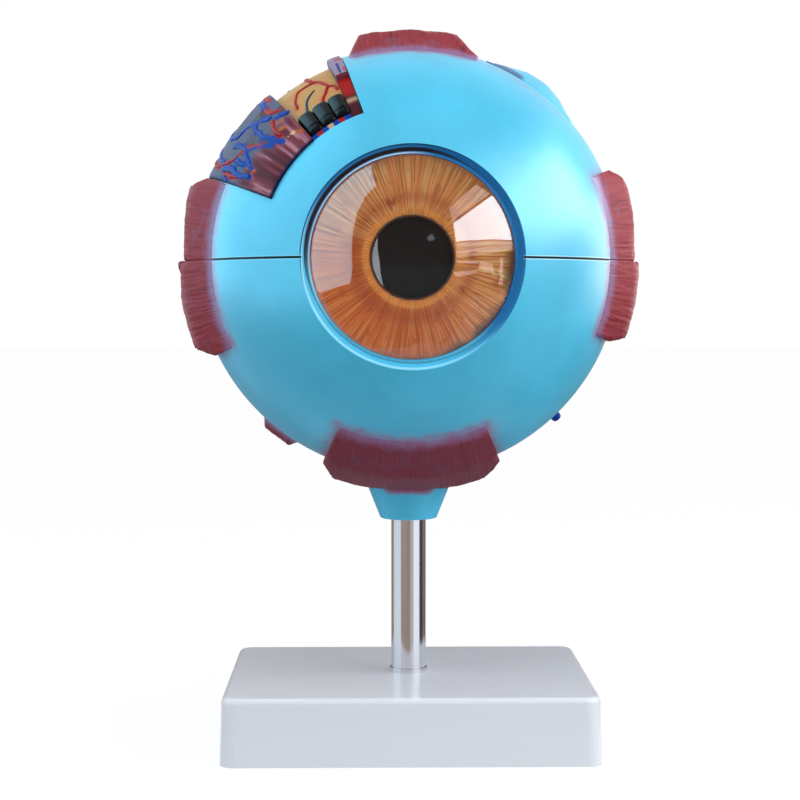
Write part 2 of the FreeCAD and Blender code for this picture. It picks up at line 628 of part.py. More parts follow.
def muscle(name):
    """Stub of a flat muscle: its outline, sloped to the sclera in front and cut off behind."""
    theta, front_phi, outline = MUSCLES[name]
    crest = [around_axis(EYE_R + share * MUSCLE_THICKNESS, -EYE_R, theta + turn) for turn, share in outline]
    roots = [around_axis(EYE_R / 2, -EYE_R, theta + turn) for turn, _ in (outline[-1], outline[0])]
    slab = closed_face(crest + roots).extrude(V(0, EYE_R + MUSCLE_BACK, 0))
    rounded = [e for e in slab.Edges if is_crest(e, crest[1:-1])]
    slab = slab.makeFillet(MUSCLE_EDGE_R, rounded)
    stub = slab.common(muscle_slope(front_phi)).common(ball(EYE_R + MUSCLE_THICKNESS))
    stub = stub.cut([ball(EYE_R + BOND_GAP), window_room()])
    if name == "inferior_rectus":
        stub = stub.cut(socket_cone(BOND_GAP))
    return stub


def is_crest(edge, crest_points):
    """True for a long edge of a muscle's slab that runs through one of these points."""
    start, end = edge.Vertexes[0].Point, edge.Vertexes[-1].Point
    if math.hypot(start.x - end.x, start.z - end.z) > 0.01:
        return False
    return any(math.hypot(start.x - p.x, start.z - p.z) < 0.01 for p in crest_points)


def window_room():
    """Space over the window, which no muscle covers."""
    thetas = (WINDOW_THETA[0] - EDGE_GAP, WINDOW_THETA[1] + EDGE_GAP)
    return patch(EYE_R - OVERCUT, EYE_R + MUSCLE_THICKNESS + OVERCUT, WINDOW_PHI, thetas)


def muscle_slope(front_phi):
    """Everything behind a cone that leaves the sclera at front_phi."""
    rho, y = polar(EYE_R, front_phi)
    reach = EYE_R + MUSCLE_THICKNESS + OVERCUT
    slope = math.tan(math.radians(90 - front_phi + MUSCLE_RISE))
    behind = 2 * EYE_R
    corners = [(0, y), (rho, y), (reach, y + (reach - rho) / slope), (reach, behind), (0, behind)]
    return revolved(corners, {})


def vortex_veins(places):
    veins = []
    for theta, phi in places:
        foot = around_axis(*polar(EYE_R - VEIN_ROOT, phi), theta)
        out = foot - EYE
        out.normalize()
        lean = (out + V(0, VEIN_LEAN, 0)).normalize()
        vein = Part.makeCone(VEIN_R, VEIN_TIP_R, VEIN_PROUD + VEIN_ROOT, foot, lean)
        veins.append(vein.cut(ball(EYE_R + BOND_GAP)))
    return Part.makeCompound(veins)


# ------------------------------------------------------- coats in the window

def choroid_panel():
    """Vessel coat, a little proud of the sclera round it."""
    return patch(WINDOW_FLOOR_R, EYE_R + CHOROID_PROUD, (FRONT_PHI, BACK_PHI),
                 (STEP_THETA + EDGE_GAP, SIDE_THETA[1]))


def choroid_margin():
    """Cut edge of the choroid in front of the bare retina and along its side."""
    low = EYE_R - MARGIN_SUNK
    side = (SIDE_THETA[0], SIDE_THETA[0] + MARGIN_SIDE)
    front = patch(WINDOW_FLOOR_R, low, (FRONT_PHI, FRONT_PHI + MARGIN_FRONT),
                  (SIDE_THETA[0], STEP_THETA - EDGE_GAP))
    strip = patch(WINDOW_FLOOR_R, low, (FRONT_PHI, MARGIN_RAISED_PHI), side)
    raised = patch(WINDOW_FLOOR_R, EYE_R + CHOROID_PROUD, (MARGIN_RAISED_PHI, BACK_PHI), side)
    return front.fuse([strip, raised]).removeSplitter()


def bare_thetas():
    return SIDE_THETA[0] + MARGIN_SIDE + 2 * EDGE_GAP, STEP_THETA - EDGE_GAP


def retina_panel():
    return patch(WINDOW_FLOOR_R, EYE_R - RETINA_SUNK,
                 (FRONT_PHI + MARGIN_FRONT + EDGE_GAP, BACK_PHI), bare_thetas())


def pigment_lobes():
    """Row of rounded lumps of the black pigment layer, on the front of the bare retina."""
    start, end = bare_thetas()
    pitch = (end - start) / LOBE_COUNT
    phi = FRONT_PHI + MARGIN_FRONT + 2 * EDGE_GAP
    lobes = []
    for index in range(LOBE_COUNT):
        low = start + pitch * index
        lobe = patch(EYE_R - RETINA_SUNK + BOND_GAP, EYE_R + LOBE_PROUD, (phi, phi + LOBE_PHI),
                     (low + EDGE_GAP, low + pitch - EDGE_GAP))
        top = [e for e in lobe.Edges if all((v.Point - EYE).Length > EYE_R for v in e.Vertexes)]
        lobes.append(lobe.makeFillet(LOBE_EDGE_R, top))
    return Part.makeCompound(lobes)


def pieces():
    """Every node's name and shape."""
    made = {
        "base": base(),
        "base_cover": base_cover(),
        "rod": rod(),
        "rod_collar": rod_collar(),
        "rod_washer": rod_washer(),
        "rod_screw": rod_screw(),
        "eye_washer": eye_washer(),
        "eye_screw": eye_screw(),
        "lower_sclera": lower_sclera(),
        "upper_sclera": upper_sclera(),
        "locating_pins": locating_pins(),
        "socket_bush": socket_bush(),
        "lower_choroid": choroid_half(-1, BOND_GAP),
        "upper_choroid": choroid_half(1, LIFT_GAP),
        "lower_retina": retina_half(-1, BOND_GAP),
        "upper_retina": retina_half(1, LIFT_GAP),
        "lower_ciliary_body": ciliary_half(180.0),
        "upper_ciliary_body": ciliary_half(0.0),
        "cornea": cornea(),
        "iris": iris(),
        "lens": lens(),
        "vitreous_body": vitreous_body(),
        "optic_nerve_sheath": optic_nerve_sheath(),
        "optic_nerve": optic_nerve(),
        "central_artery": nerve_vessel(-1),
        "central_vein": nerve_vessel(1),
        "vortex_veins_lower": vortex_veins(VEINS_LOWER),
        "vortex_veins_upper": vortex_veins(VEINS_UPPER),
        "choroid_panel": choroid_panel(),
        "choroid_margin": choroid_margin(),
        "retina_panel": retina_panel(),
        "pigment_lobes": pigment_lobes(),
    }
    for name in MUSCLES:
        made[name] = muscle(name)
    return made


os.makedirs("parts", exist_ok=True)
for name, shape in pieces().items():
    shape.exportStep("parts/" + name + ".step")
    print(name, len(shape.Solids), "solids", round(shape.Volume / 1000, 3), "cm3", shape.isValid())
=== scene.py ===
"""Looks of a dissectible eye model, six times life size, on its rod and base.

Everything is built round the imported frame: a piece takes its place from the
frame's own nodes. Lengths in the tables are millimetres from the eye's centre,
with -Y the way that the eye looks, +X the viewer's right and +Z up. phi is the
angle from the optical axis and theta the angle round it, from +X towards +Z.
"""

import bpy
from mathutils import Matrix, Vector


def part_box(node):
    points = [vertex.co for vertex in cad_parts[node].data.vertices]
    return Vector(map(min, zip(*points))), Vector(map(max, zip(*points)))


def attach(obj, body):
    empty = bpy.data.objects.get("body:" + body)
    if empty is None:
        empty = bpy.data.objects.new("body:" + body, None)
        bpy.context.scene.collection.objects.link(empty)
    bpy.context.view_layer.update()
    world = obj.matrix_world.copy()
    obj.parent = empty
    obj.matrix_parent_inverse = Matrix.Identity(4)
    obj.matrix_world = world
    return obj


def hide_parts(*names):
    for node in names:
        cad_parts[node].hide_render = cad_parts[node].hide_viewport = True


bl_info = {
    "name": "Dissectible eye model",
    "version": (1, 0, 0),
    "blender": (4, 5, 0),
    "location": "3D View > Sidebar > Eye model",
    "description": "Builds and paints a dissectible eye model round its packed frame",
    "category": "Object",
}

import math

import bmesh
import bpy
import numpy as np
from bpy.props import FloatProperty, FloatVectorProperty, IntProperty, PointerProperty
from mathutils import Vector

MM = 0.001
DEGREE = math.radians(1)
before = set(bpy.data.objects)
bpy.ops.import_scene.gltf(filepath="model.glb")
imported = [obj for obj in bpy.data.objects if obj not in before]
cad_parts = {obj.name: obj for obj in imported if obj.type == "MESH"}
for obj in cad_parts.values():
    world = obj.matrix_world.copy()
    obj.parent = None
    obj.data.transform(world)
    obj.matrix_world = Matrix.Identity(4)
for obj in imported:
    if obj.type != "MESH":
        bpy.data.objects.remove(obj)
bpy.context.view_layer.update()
SEAM_LOW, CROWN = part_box("upper_sclera")
EYE_R = (CROWN.z - SEAM_LOW.z) / MM
EYE = np.array([0.0, 0.0, SEAM_LOW.z / MM])
UP_TO_EYE = Vector(EYE) * MM


# ------------------------------------------------------------ what a user may change

def paint(name, description, red, green, blue):
    """A colour of the paint box, given from 0 to 255."""
    return FloatVectorProperty(name=name, description=description, subtype="COLOR_GAMMA", size=3,
                               min=0.0, max=1.0, default=(red / 255, green / 255, blue / 255))


def length(name, description, millimetres):
    return FloatProperty(name=name, description=description, default=millimetres * MM,
                         min=0.0, unit="LENGTH", precision=5)


def share(name, description, value, top=1.0):
    return FloatProperty(name=name, description=description, default=value, min=0.0, max=top,
                         subtype="FACTOR")


def count(name, description, value):
    return IntProperty(name=name, description=description, default=value, min=1)


class ScleraLook(bpy.types.PropertyGroup):
    blue: paint("Sclera blue", "Paint on the outside of the eyeball", 72, 184, 220)
    # Painted shade: the bevel, its gap, the shadow by the superior oblique and the cornea edge's right side.
    shaded_blue: paint("Bevel blue", "Paint on the bevel round the cornea", 32, 118, 178)
    # Painted shade in the gap round the cornea, near black on the upper left.
    gap_shade: paint("Bore", "Dirt in the gap round the cornea", 44, 26, 30)
    edge_blue: paint("Cut edge", "Thickness of the wall where the window is cut", 150, 200, 222)
    mauve: paint("Mauve spray", "Where the blue and the red sprays meet", 136, 104, 144)
    # Painted highlights beside the seam, stronger on the right, and along the lower left of the bevel.
    edge_highlight: paint("Edge highlight", "Worn edges of the seam and the bevel", 178, 230, 246)
    # Painted shade in the join of the two halves.
    seam: paint("Seam line", "Dirt in the join of the two halves", 22, 26, 30)
    inside: paint("Inside of the wall", "Bare plastic behind the paint", 196, 204, 206)
    gloss: share("Roughness", "Roughness of the painted plastic", 0.33)
    # Painted shade along the upper left of the rim; also the dark line inside the cornea edge's painted highlight.
    navy: paint("Rim line", "Thin line on the rim of the opening", 18, 44, 84)


class MuscleLook(bpy.types.PropertyGroup):
    # Painted shade in the grooves between the fibres; also the colour of the cut faces.
    dark: paint("Dark fibre", "Grooves between the fibres", 88, 26, 34)
    red: paint("Fibre red", "Body colour of the muscles", 138, 46, 55)
    # Painted highlights on the ridges of the fibres.
    pale_highlight: paint("Fibre highlight", "Dry-brushed ridges", 156, 70, 82)
    # Also the colour of blotches, and of the painted shade on the low muscles.
    violet: paint("Front spray", "Where the muscle runs out on the sclera", 120, 80, 102)
    relief: length("Fibre relief", "Height of the fibre ridges", 0.2)
    fade: length("Front fade", "Thickness at which the red has faded in", 1.9)


class WindowLook(bpy.types.PropertyGroup):
    vein: paint("Vein blue", "Large vessels of the choroid", 10, 54, 142)
    artery: paint("Artery red", "Thin vessels", 154, 20, 22)
    coat: paint("Choroid grey", "Ground between the vessels", 84, 88, 108)
    ciliary: paint("Ciliary mauve", "Streaked muscle at the front of the window", 112, 44, 56)
    streak: paint("Ciliary streak", "Pale ridges on the ciliary muscle", 172, 116, 132)
    ochre: paint("Ochre patch", "Touches of ochre between vessels", 176, 84, 34)
    green: paint("Green touch", "Touches of green between vessels", 58, 108, 66)
    teal: paint("Dark vein", "Thin veins on the bare retina", 20, 66, 78)
    buff: paint("Retina buff", "Bare retina in the window", 186, 140, 84)
    black: paint("Pigment black", "Pigment layer", 14, 14, 17)
    maroon: paint("Cut choroid", "Cut edge of the choroid", 70, 20, 30)


class FrontLook(bpy.types.PropertyGroup):
    brown: paint("Iris brown", "Ground colour of the iris", 248, 142, 68)
    gold: paint("Iris gold", "Light fibres of the iris", 255, 200, 128)
    rust: paint("Iris rust", "Dark fibres and outer edge of the iris", 138, 58, 24)
    ring: paint("Collarette", "Ridge round the pupil", 252, 156, 66)
    # Painted shade: the lower left of the iris is painted a deeper orange.
    low: paint("Iris low", "Deeper orange of the lower half", 222, 88, 8)
    # Also the painted shadow along the iris's outer edge on the lower right.
    pupil_edge: paint("Pupil edge", "Thin line round the pupil", 60, 30, 24)
    fibres: count("Fibres", "Radial fibres round the iris", 620)
    beads: count("Beads", "Beads on the collarette", 96)
    relief: length("Fibre relief", "Height of the iris's fibres", 0.16)


class InsideLook(bpy.types.PropertyGroup):
    choroid: paint("Choroid brown", "Outer side of the vessel coat", 112, 52, 40)
    choroid_dark: paint("Choroid dark", "Dark patches of the vessel coat", 66, 30, 26)
    retina: paint("Retina orange", "Inner side of the retina", 214, 118, 72)
    retina_deep: paint("Retina red", "Deeper colour towards the rim", 176, 74, 48)
    ciliary: paint("Ciliary brown", "Ring and folds behind the iris", 88, 50, 38)
    nerve: paint("Nerve yellow", "Bundles of the optic nerve", 226, 198, 128)
    nerve_line: paint("Nerve lines", "Sheaths between the bundles", 160, 120, 66)
    folds: count("Ciliary folds", "Folds in the whole ring", 70)


class StandLook(bpy.types.PropertyGroup):
    plastic: paint("Base white", "Moulded base and its cover", 220, 223, 231)
    chrome: paint("Chrome", "Rod and collar", 214, 216, 220)
    zinc: paint("Zinc", "Screws, washers and pins", 168, 170, 168)
    brass: paint("Brass", "Bush in the boss", 190, 150, 80)


class StudioLook(bpy.types.PropertyGroup):
    key: FloatProperty(name="Window light", description="Power of the long light on the right",
                       default=9.6, min=0.0, unit="POWER")
    top: FloatProperty(name="Top light", description="Power of the soft light overhead",
                       default=6.6, min=0.0, unit="POWER")
    left: FloatProperty(name="Left light", description="Power of the warm light on the left",
                        default=5.0, min=0.0, unit="POWER")
    room: share("Room light", "Strength of the even light from all round", 0.5, 2.0)
    pane: FloatProperty(name="Pane", description="Brightness of the window in reflections",
                        default=18.5, min=0.0)
    wall: FloatProperty(name="Wall", description="Brightness of the left wall in reflections",
                        default=6.8, min=0.0)


class EyeModelLook(bpy.types.PropertyGroup):
    sclera: PointerProperty(type=ScleraLook)
    muscle: PointerProperty(type=MuscleLook)
    window: PointerProperty(type=WindowLook)
    front: PointerProperty(type=FrontLook)
    inside: PointerProperty(type=InsideLook)
    stand: PointerProperty(type=StandLook)
    studio: PointerProperty(type=StudioLook)


def look():
    return bpy.context.scene.eye_model


def linear(colour, gain=1.0):
    """A paint-box colour as a shader's colour."""
    return [gain * (c / 12.92 if c <= 0.04045 else ((c + 0.055) / 1.055) ** 2.4) for c in colour] + [1.0]


# ------------------------------------------------------------ shader building

def add(tree, kind, inputs=None, **settings):
    """A new node with its settings, its inputs given as values or as sockets to link."""
    node = tree.nodes.new(kind)
    for key, value in settings.items():
        setattr(node, key, value)
    for key, value in (inputs or {}).items():
        if isinstance(value, bpy.types.NodeSocket):
            tree.links.new(value, node.inputs[key])
        else:
            node.inputs[key].default_value = value
    return node


def link(tree, value, socket):
    """Links a value, given as a socket, to another socket."""
    tree.links.new(value, socket)


def maths(tree, operation, a, b=0.0, c=0.0):
    return add(tree, "ShaderNodeMath", {0: a, 1: b, 2: c}, operation=operation).outputs[0]


def times(tree, a, b):
    return maths(tree, "MULTIPLY", a, b)


def vectors(tree, operation, a, b=(0.0, 0.0, 0.0), scale=1.0, output="Vector"):
    return add(tree, "ShaderNodeVectorMath", {0: a, 1: b, 3: scale}, operation=operation).outputs[output]


def dot(tree, vector, direction):
    """How far a place lies in a direction."""
    return vectors(tree, "DOT_PRODUCT", vector, direction, output="Value")


def mix(tree, factor, a, b):
    """Colour a where factor is 0, colour b where it is 1."""
    return add(tree, "ShaderNodeMix", {0: factor, 6: a, 7: b}, data_type="RGBA").outputs[2]


def blend(tree, factor, first, second):
    """One shader where factor is 0, another where it is 1."""
    return add(tree, "ShaderNodeMixShader", {0: factor, 1: first, 2: second}).outputs[0]


def glow(tree, colour, strength):
    return add(tree, "ShaderNodeEmission", {"Color": (*colour, 1.0), "Strength": strength}).outputs[0]


def smooth(tree, value, low, high):
    """0 below low, 1 above high, and eased in between."""
    return add(tree, "ShaderNodeMapRange", {"Value": value, "From Min": low, "From Max": high},
               interpolation_type="SMOOTHSTEP").outputs["Result"]


def noise(tree, vector, scale, detail=3.0, roughness=0.55):
    return add(tree, "ShaderNodeTexNoise", {"Vector": vector, "Scale": scale, "Detail": detail,
                                            "Roughness": roughness}).outputs["Fac"]


def bump(tree, height, strength, depth):
    """A normal from a height between 0 and 1; depth is in metres."""
    return add(tree, "ShaderNodeBump", {"Strength": strength, "Distance": depth, "Height": height}).outputs[0]


def attribute(tree, name, output="Fac"):
    return add(tree, "ShaderNodeAttribute", attribute_name=name).outputs[output]


def new_group(name, inputs, outputs):
    """A shader group with named sockets: {name: default}, where a default may be a colour."""
    group = bpy.data.node_groups.new(name, "ShaderNodeTree")
    for side, sockets in (("INPUT", inputs), ("OUTPUT", outputs)):
        for key, default in sockets.items():
            kind = {"N": "NodeSocketVector", "C": "NodeSocketColor"}.get(default if isinstance(default, str) else "")
            kind = kind or ("NodeSocketFloat" if isinstance(default, float) else "NodeSocketColor")
            socket = group.interface.new_socket(name=key, in_out=side, socket_type=kind)
            if side == "INPUT" and not isinstance(default, str):
                socket.default_value = default
    return group, group.nodes.new("NodeGroupInput").outputs, group.nodes.new("NodeGroupOutput").inputs


def use_group(tree, name, inputs=None):
    return add(tree, "ShaderNodeGroup", inputs, node_tree=bpy.data.node_groups[name]).outputs


SPECK_CELLS = 1.4
SKIN_DEPTH = 0.0006
FIBRE_STRETCH = (1.0, 0.04, 0.25)


def make_groups():
    """The effects that more than one material uses."""
    # Place of a point on the eye, in millimetres.
    tree, _, out = new_group("eye_place", {}, {"Radius": 0.0, "Axis distance": 0.0, "Depth": 0.0,
                                                "Height": 0.0, "Point": "N"})
    where = add(tree, "ShaderNodeTexCoord").outputs["Object"]
    point = vectors(tree, "SCALE", vectors(tree, "SUBTRACT", where, UP_TO_EYE), scale=1 / MM)
    flat = vectors(tree, "MULTIPLY", point, (1.0, 0.0, 1.0))
    parts = add(tree, "ShaderNodeSeparateXYZ", {0: point}).outputs
    link(tree, vectors(tree, "LENGTH", point, output="Value"), out["Radius"])
    link(tree, vectors(tree, "LENGTH", flat, output="Value"), out["Axis distance"])
    link(tree, parts["Y"], out["Depth"])
    link(tree, parts["Z"], out["Height"])
    link(tree, point, out["Point"])

    # Slight unevenness of sprayed or moulded plastic.
    tree, given, out = new_group("plastic_skin", {"Roughness": 0.4, "Spread": 0.06, "Waviness": 0.1, "Cells": 0.12},
                                 {"Roughness": 0.0, "Normal": "N", "Speck": 0.0})
    point = use_group(tree, "eye_place")["Point"]
    coarse = noise(tree, point, given["Cells"], 2.0)
    fine = noise(tree, point, SPECK_CELLS, 3.0)
    uneven = maths(tree, "MULTIPLY_ADD", maths(tree, "SUBTRACT", coarse, 0.5), given["Spread"], given["Roughness"])
    height = maths(tree, "ADD", coarse, times(tree, fine, 0.12))
    link(tree, uneven, out["Roughness"])
    link(tree, bump(tree, height, given["Waviness"], SKIN_DEPTH), out["Normal"])
    link(tree, smooth(tree, fine, 0.62, 0.8), out["Speck"])

    # Streaks that run front to back, read from a piece's own grain coordinates, with painted shade in the grooves
    # and painted highlights on some ridges.
    tree, given, out = new_group("fibre_streaks", {"Dark": [0.1, 0.02, 0.02, 1], "Body": [0.2, 0.05, 0.05, 1],
                                                   "Pale": [0.4, 0.2, 0.2, 1], "Count": 1.0},
                                 {"Colour": "C", "Height": 0.0})
    grain = attribute(tree, "grain", "Vector")
    strands = noise(tree, vectors(tree, "MULTIPLY", grain, FIBRE_STRETCH), given["Count"], 4.0, 0.62)
    patches = noise(tree, grain, 0.16, 2.0)
    body = mix(tree, smooth(tree, strands, 0.26, 0.46), given["Dark"], given["Body"])
    ridges = times(tree, smooth(tree, strands, 0.57, 0.73), smooth(tree, patches, 0.36, 0.6))
    link(tree, mix(tree, ridges, body, given["Pale"]), out["Colour"])
    link(tree, strands, out["Height"])


def new_material(name, **values):
    """The nodes of a material and its shader's sockets; values are the same all over it."""
    made = bpy.data.materials.new(name)
    made.use_nodes = True
    tree = made.node_tree
    shader = tree.nodes["Principled BSDF"]
    for key, value in values.items():
        shader.inputs[key.replace("_", " ")].default_value = value
    return tree, shader.inputs


def moulded(tree, shader, roughness, spread, waviness, cells):
    """Gives a shader the unevenness of sprayed or moulded plastic; returns the mask of its specks."""
    skin = use_group(tree, "plastic_skin", {"Roughness": roughness, "Spread": spread, "Waviness": waviness,
                                            "Cells": cells})
    link(tree, skin["Roughness"], shader["Roughness"])
    link(tree, skin["Normal"], shader["Normal"])
    return skin["Speck"]


def material(name):
    return bpy.data.materials[name]


# ------------------------------------------------------------ materials

# Directions towards which the bevel gets painted light, and painted shade; half heights of the seam's painted shade
# and of the painted highlights beside it, and the heights between which the muscles get painted shade, in millimetres.
LOW_LEFT, UP_LEFT = (-0.017, 0.0, -0.024), (-0.018, 0.0, 0.024)
SEAM_HEIGHT, HIGHLIGHT_HEIGHT = 0.33, 0.66
LOW_SHADE = (-42.0, -64.0)


def sclera_material():
    """Blue paint, mauve spray by the muscles; painted shade and light on the bevel, by the oblique and at the seam."""
    tone = look().sclera
    tree, shader = new_material("sclera_paint", Specular_IOR_Level=0.28)
    moulded(tree, shader, roughness=tone.gloss, spread=0.08, waviness=0.1, cells=0.09)
    place = use_group(tree, "eye_place")
    point, reach, height = place["Point"], place["Axis distance"], maths(tree, "ABSOLUTE", place["Height"])
    clouds = noise(tree, point, 0.035, 3.0)
    blue = mix(tree, smooth(tree, clouds, 0.35, 0.7), linear(tone.blue, 0.93), linear(tone.blue, 1.06))
    haze = attribute(tree, "haze")
    blue = sprayed(tree, haze, point, blue, linear(look().muscle.red))
    # Painted shadow: a negative spray value, on the superior oblique's lump, turns the blue deep blue.
    blue = mix(tree, smooth(tree, haze, -0.05, -1.0), blue, linear(tone.shaded_blue, 0.6))

    # The bevel round the cornea, deep blue as painted shade and lighter on the lower left as painted light, with a
    # painted highlight line there and a painted shade line on the upper left; its gap in painted shade; the cut walls
    # and the inside.
    wall = maths(tree, "LESS_THAN", place["Radius"], EYE_R - 0.12)
    in_bore = times(tree, maths(tree, "LESS_THAN", reach, RIM_R + 0.1), maths(tree, "LESS_THAN", place["Depth"], 0.0))
    blue = mix(tree, wall, blue, linear(tone.edge_blue))
    lit = smooth(tree, dot(tree, point, LOW_LEFT), -0.1, 0.75)
    up_left = smooth(tree, dot(tree, point, UP_LEFT), 0.1, 0.8)
    bevel = mix(tree, lit, linear(tone.shaded_blue), linear(tone.blue, 1.25))
    bevel_highlight = smooth(tree, maths(tree, "ABSOLUTE", maths(tree, "SUBTRACT", reach, RIM_R - 0.55)), 0.5, 0.1)
    bevel = mix(tree, times(tree, times(tree, lit, bevel_highlight), 0.7), bevel, linear(tone.edge_highlight))
    rim_shade_line = times(tree, up_left, maths(tree, "GREATER_THAN", reach, RIM_R - 0.4))
    bevel = mix(tree, rim_shade_line, bevel, linear(tone.navy))
    # Painted shade in the gap round the cornea: near black and wider on the upper left, dark blue elsewhere.
    gap = maths(tree, "MULTIPLY_ADD", up_left, 0.85, BEVEL_R + 0.2)
    gap_shade_colour = mix(tree, lit, linear(tone.shaded_blue, 0.8), linear(tone.blue, 0.7))
    gap_shade_colour = mix(tree, up_left, gap_shade_colour, linear(tone.gap_shade))
    bevel = mix(tree, maths(tree, "LESS_THAN", reach, gap), bevel, gap_shade_colour)
    blue = mix(tree, times(tree, wall, in_bore), blue, bevel)
    inside = maths(tree, "LESS_THAN", place["Radius"], EYE_R - WALL + 0.1)
    blue = mix(tree, times(tree, inside, maths(tree, "SUBTRACT", 1.0, in_bore)), blue, linear(tone.inside))

    # The seam: painted shade in the groove, painted highlights beside it, stronger on the right.
    near_skin = maths(tree, "GREATER_THAN", place["Radius"], EYE_R - 0.9)
    seam_highlight = times(tree, near_skin, maths(tree, "LESS_THAN", height, HIGHLIGHT_HEIGHT))
    to_right = smooth(tree, dot(tree, point, (1.0, 0.0, 0.0)), 20.0, 45.0)
    blue = mix(tree, times(tree, seam_highlight, maths(tree, "MULTIPLY_ADD", to_right, 0.5, 0.25)), blue, linear(tone.edge_highlight))
    seam = times(tree, near_skin, maths(tree, "LESS_THAN", height, SEAM_HEIGHT))
    link(tree, mix(tree, seam, blue, linear(tone.seam)), shader["Base Color"])


def sprayed(tree, amount, point, blue, red):
    """Blue at amount 0, mauve at a half and red at 1, with a soft uneven edge."""
    uneven = maths(tree, "SUBTRACT", noise(tree, point, 0.22, 3.0, 0.6), 0.5)
    ragged = maths(tree, "MULTIPLY_ADD", uneven, times(tree, smooth(tree, amount, 0.0, 0.3), 0.5), amount)
    colour = mix(tree, smooth(tree, ragged, 0.04, 0.5), blue, linear(look().sclera.mauve))
    return mix(tree, smooth(tree, ragged, 0.42, 0.95), colour, red)


def muscle_material():
    """Dark red fibres with painted shade and highlights, sprayed mauve where they run out on the blue; low ones painted
    darker.
    """
    tone = look().muscle
    tree, shader = new_material("muscle_paint", Specular_IOR_Level=0.05, Coat_Roughness=0.33)
    streaks = use_group(tree, "fibre_streaks", {"Dark": linear(tone.dark), "Body": linear(tone.red),
                                                "Pale": linear(tone.pale_highlight), "Count": 0.9})
    place = use_group(tree, "eye_place")
    rise = attribute(tree, "rise")
    blotches = smooth(tree, noise(tree, place["Point"], 0.16, 3.0, 0.6), 0.54, 0.72)
    colour = mix(tree, times(tree, blotches, 0.5), streaks["Colour"], linear(tone.violet))
    colour = sprayed(tree, rise, place["Point"], linear(look().sclera.blue), colour)
    # Painted shade: the low muscles are painted darker and more violet.
    shade = times(tree, smooth(tree, place["Height"], *LOW_SHADE), smooth(tree, rise, 0.5, 1.0))
    colour = mix(tree, times(tree, shade, 0.5), colour, linear(tone.violet, 0.6))
    cut = maths(tree, "MAXIMUM", maths(tree, "GREATER_THAN", place["Depth"], MUSCLE_BACK - 0.1),
                maths(tree, "LESS_THAN", maths(tree, "ABSOLUTE", place["Height"]), 0.04))
    link(tree, mix(tree, cut, colour, linear(tone.dark, 0.8)), shader["Base Color"])
    link(tree, maths(tree, "MULTIPLY_ADD", streaks["Height"], -0.25, 0.58), shader["Roughness"])
    link(tree, bump(tree, streaks["Height"], 0.7, 0.0005), shader["Normal"])
    link(tree, times(tree, smooth(tree, rise, 0.75, 0.4), 0.45), shader["Coat Weight"])


def glass_material(name, tint_of, ior, bright_behind):
    """Clear plastic. Where bright_behind is set, rays from lamps reach what is behind it."""
    tree, _ = new_material(name, Base_Color=tint_of, Roughness=0.0, IOR=ior, Transmission_Weight=1.0)
    if bright_behind:
        from_lamp = add(tree, "ShaderNodeLightPath").outputs["Is Shadow Ray"]
        clear = add(tree, "ShaderNodeBsdfTransparent", {"Color": tint_of}).outputs[0]
        solid = tree.nodes["Principled BSDF"].outputs[0]
        link(tree, blend(tree, from_lamp, solid, clear), tree.nodes["Material Output"].inputs["Surface"])


def metal_material(name, colour, rough, scratch_cells):
    """Plated or turned metal with fine wear."""
    tree, shader = new_material(name, Metallic=1.0)
    speck = moulded(tree, shader, roughness=rough, spread=0.1, waviness=0.015, cells=scratch_cells)
    link(tree, mix(tree, speck, linear(colour), linear(colour, 0.82)), shader["Base Color"])


def plastic_material():
    """Milky white moulding."""
    tree, shader = new_material("base_plastic", Specular_IOR_Level=0.3, Coat_Weight=0.12, Coat_Roughness=0.06)
    speck = moulded(tree, shader, roughness=0.22, spread=0.07, waviness=0.06, cells=0.05)
    white = look().stand.plastic
    link(tree, mix(tree, speck, linear(white), linear(white, 0.93)), shader["Base Color"])


def painted_material(name, rough, waviness, specular):
    """Paint that a piece carries in its own colour attribute, with the skin of moulded plastic."""
    tree, shader = new_material(name, Specular_IOR_Level=specular)
    moulded(tree, shader, roughness=rough, spread=0.15, waviness=waviness, cells=0.2)
    link(tree, attribute(tree, "tone", "Color"), shader["Base Color"])


def plain_paint(name, colour, rough, specular, thin=0.85):
    """One paint, brushed a little unevenly, darker by the factor thin where it is thin."""
    tree, shader = new_material(name, Specular_IOR_Level=specular)
    moulded(tree, shader, roughness=rough, spread=0.12, waviness=0.12, cells=0.3)
    cloud = noise(tree, use_group(tree, "eye_place")["Point"], 0.25, 3.0)
    link(tree, mix(tree, smooth(tree, cloud, 0.35, 0.65), linear(colour, thin), linear(colour, 1.08)),
         shader["Base Color"])


def coat_material(name, dark, light, cells):
    """Inner coat with blotches and the shadows of fine vessels."""
    tree, shader = new_material(name, Specular_IOR_Level=0.35, Coat_Weight=0.1, Coat_Roughness=0.3)
    moulded(tree, shader, roughness=0.5, spread=0.15, waviness=0.12, cells=0.25)
    point = use_group(tree, "eye_place")["Point"]
    broad = noise(tree, point, cells, 4.0, 0.6)
    fine = noise(tree, point, cells * 9.0, 3.0, 0.6)
    colour = mix(tree, smooth(tree, broad, 0.32, 0.66), linear(dark), linear(light))
    colour = mix(tree, times(tree, smooth(tree, fine, 0.5, 0.72), 0.35), colour, linear(dark))
    link(tree, colour, shader["Base Color"])


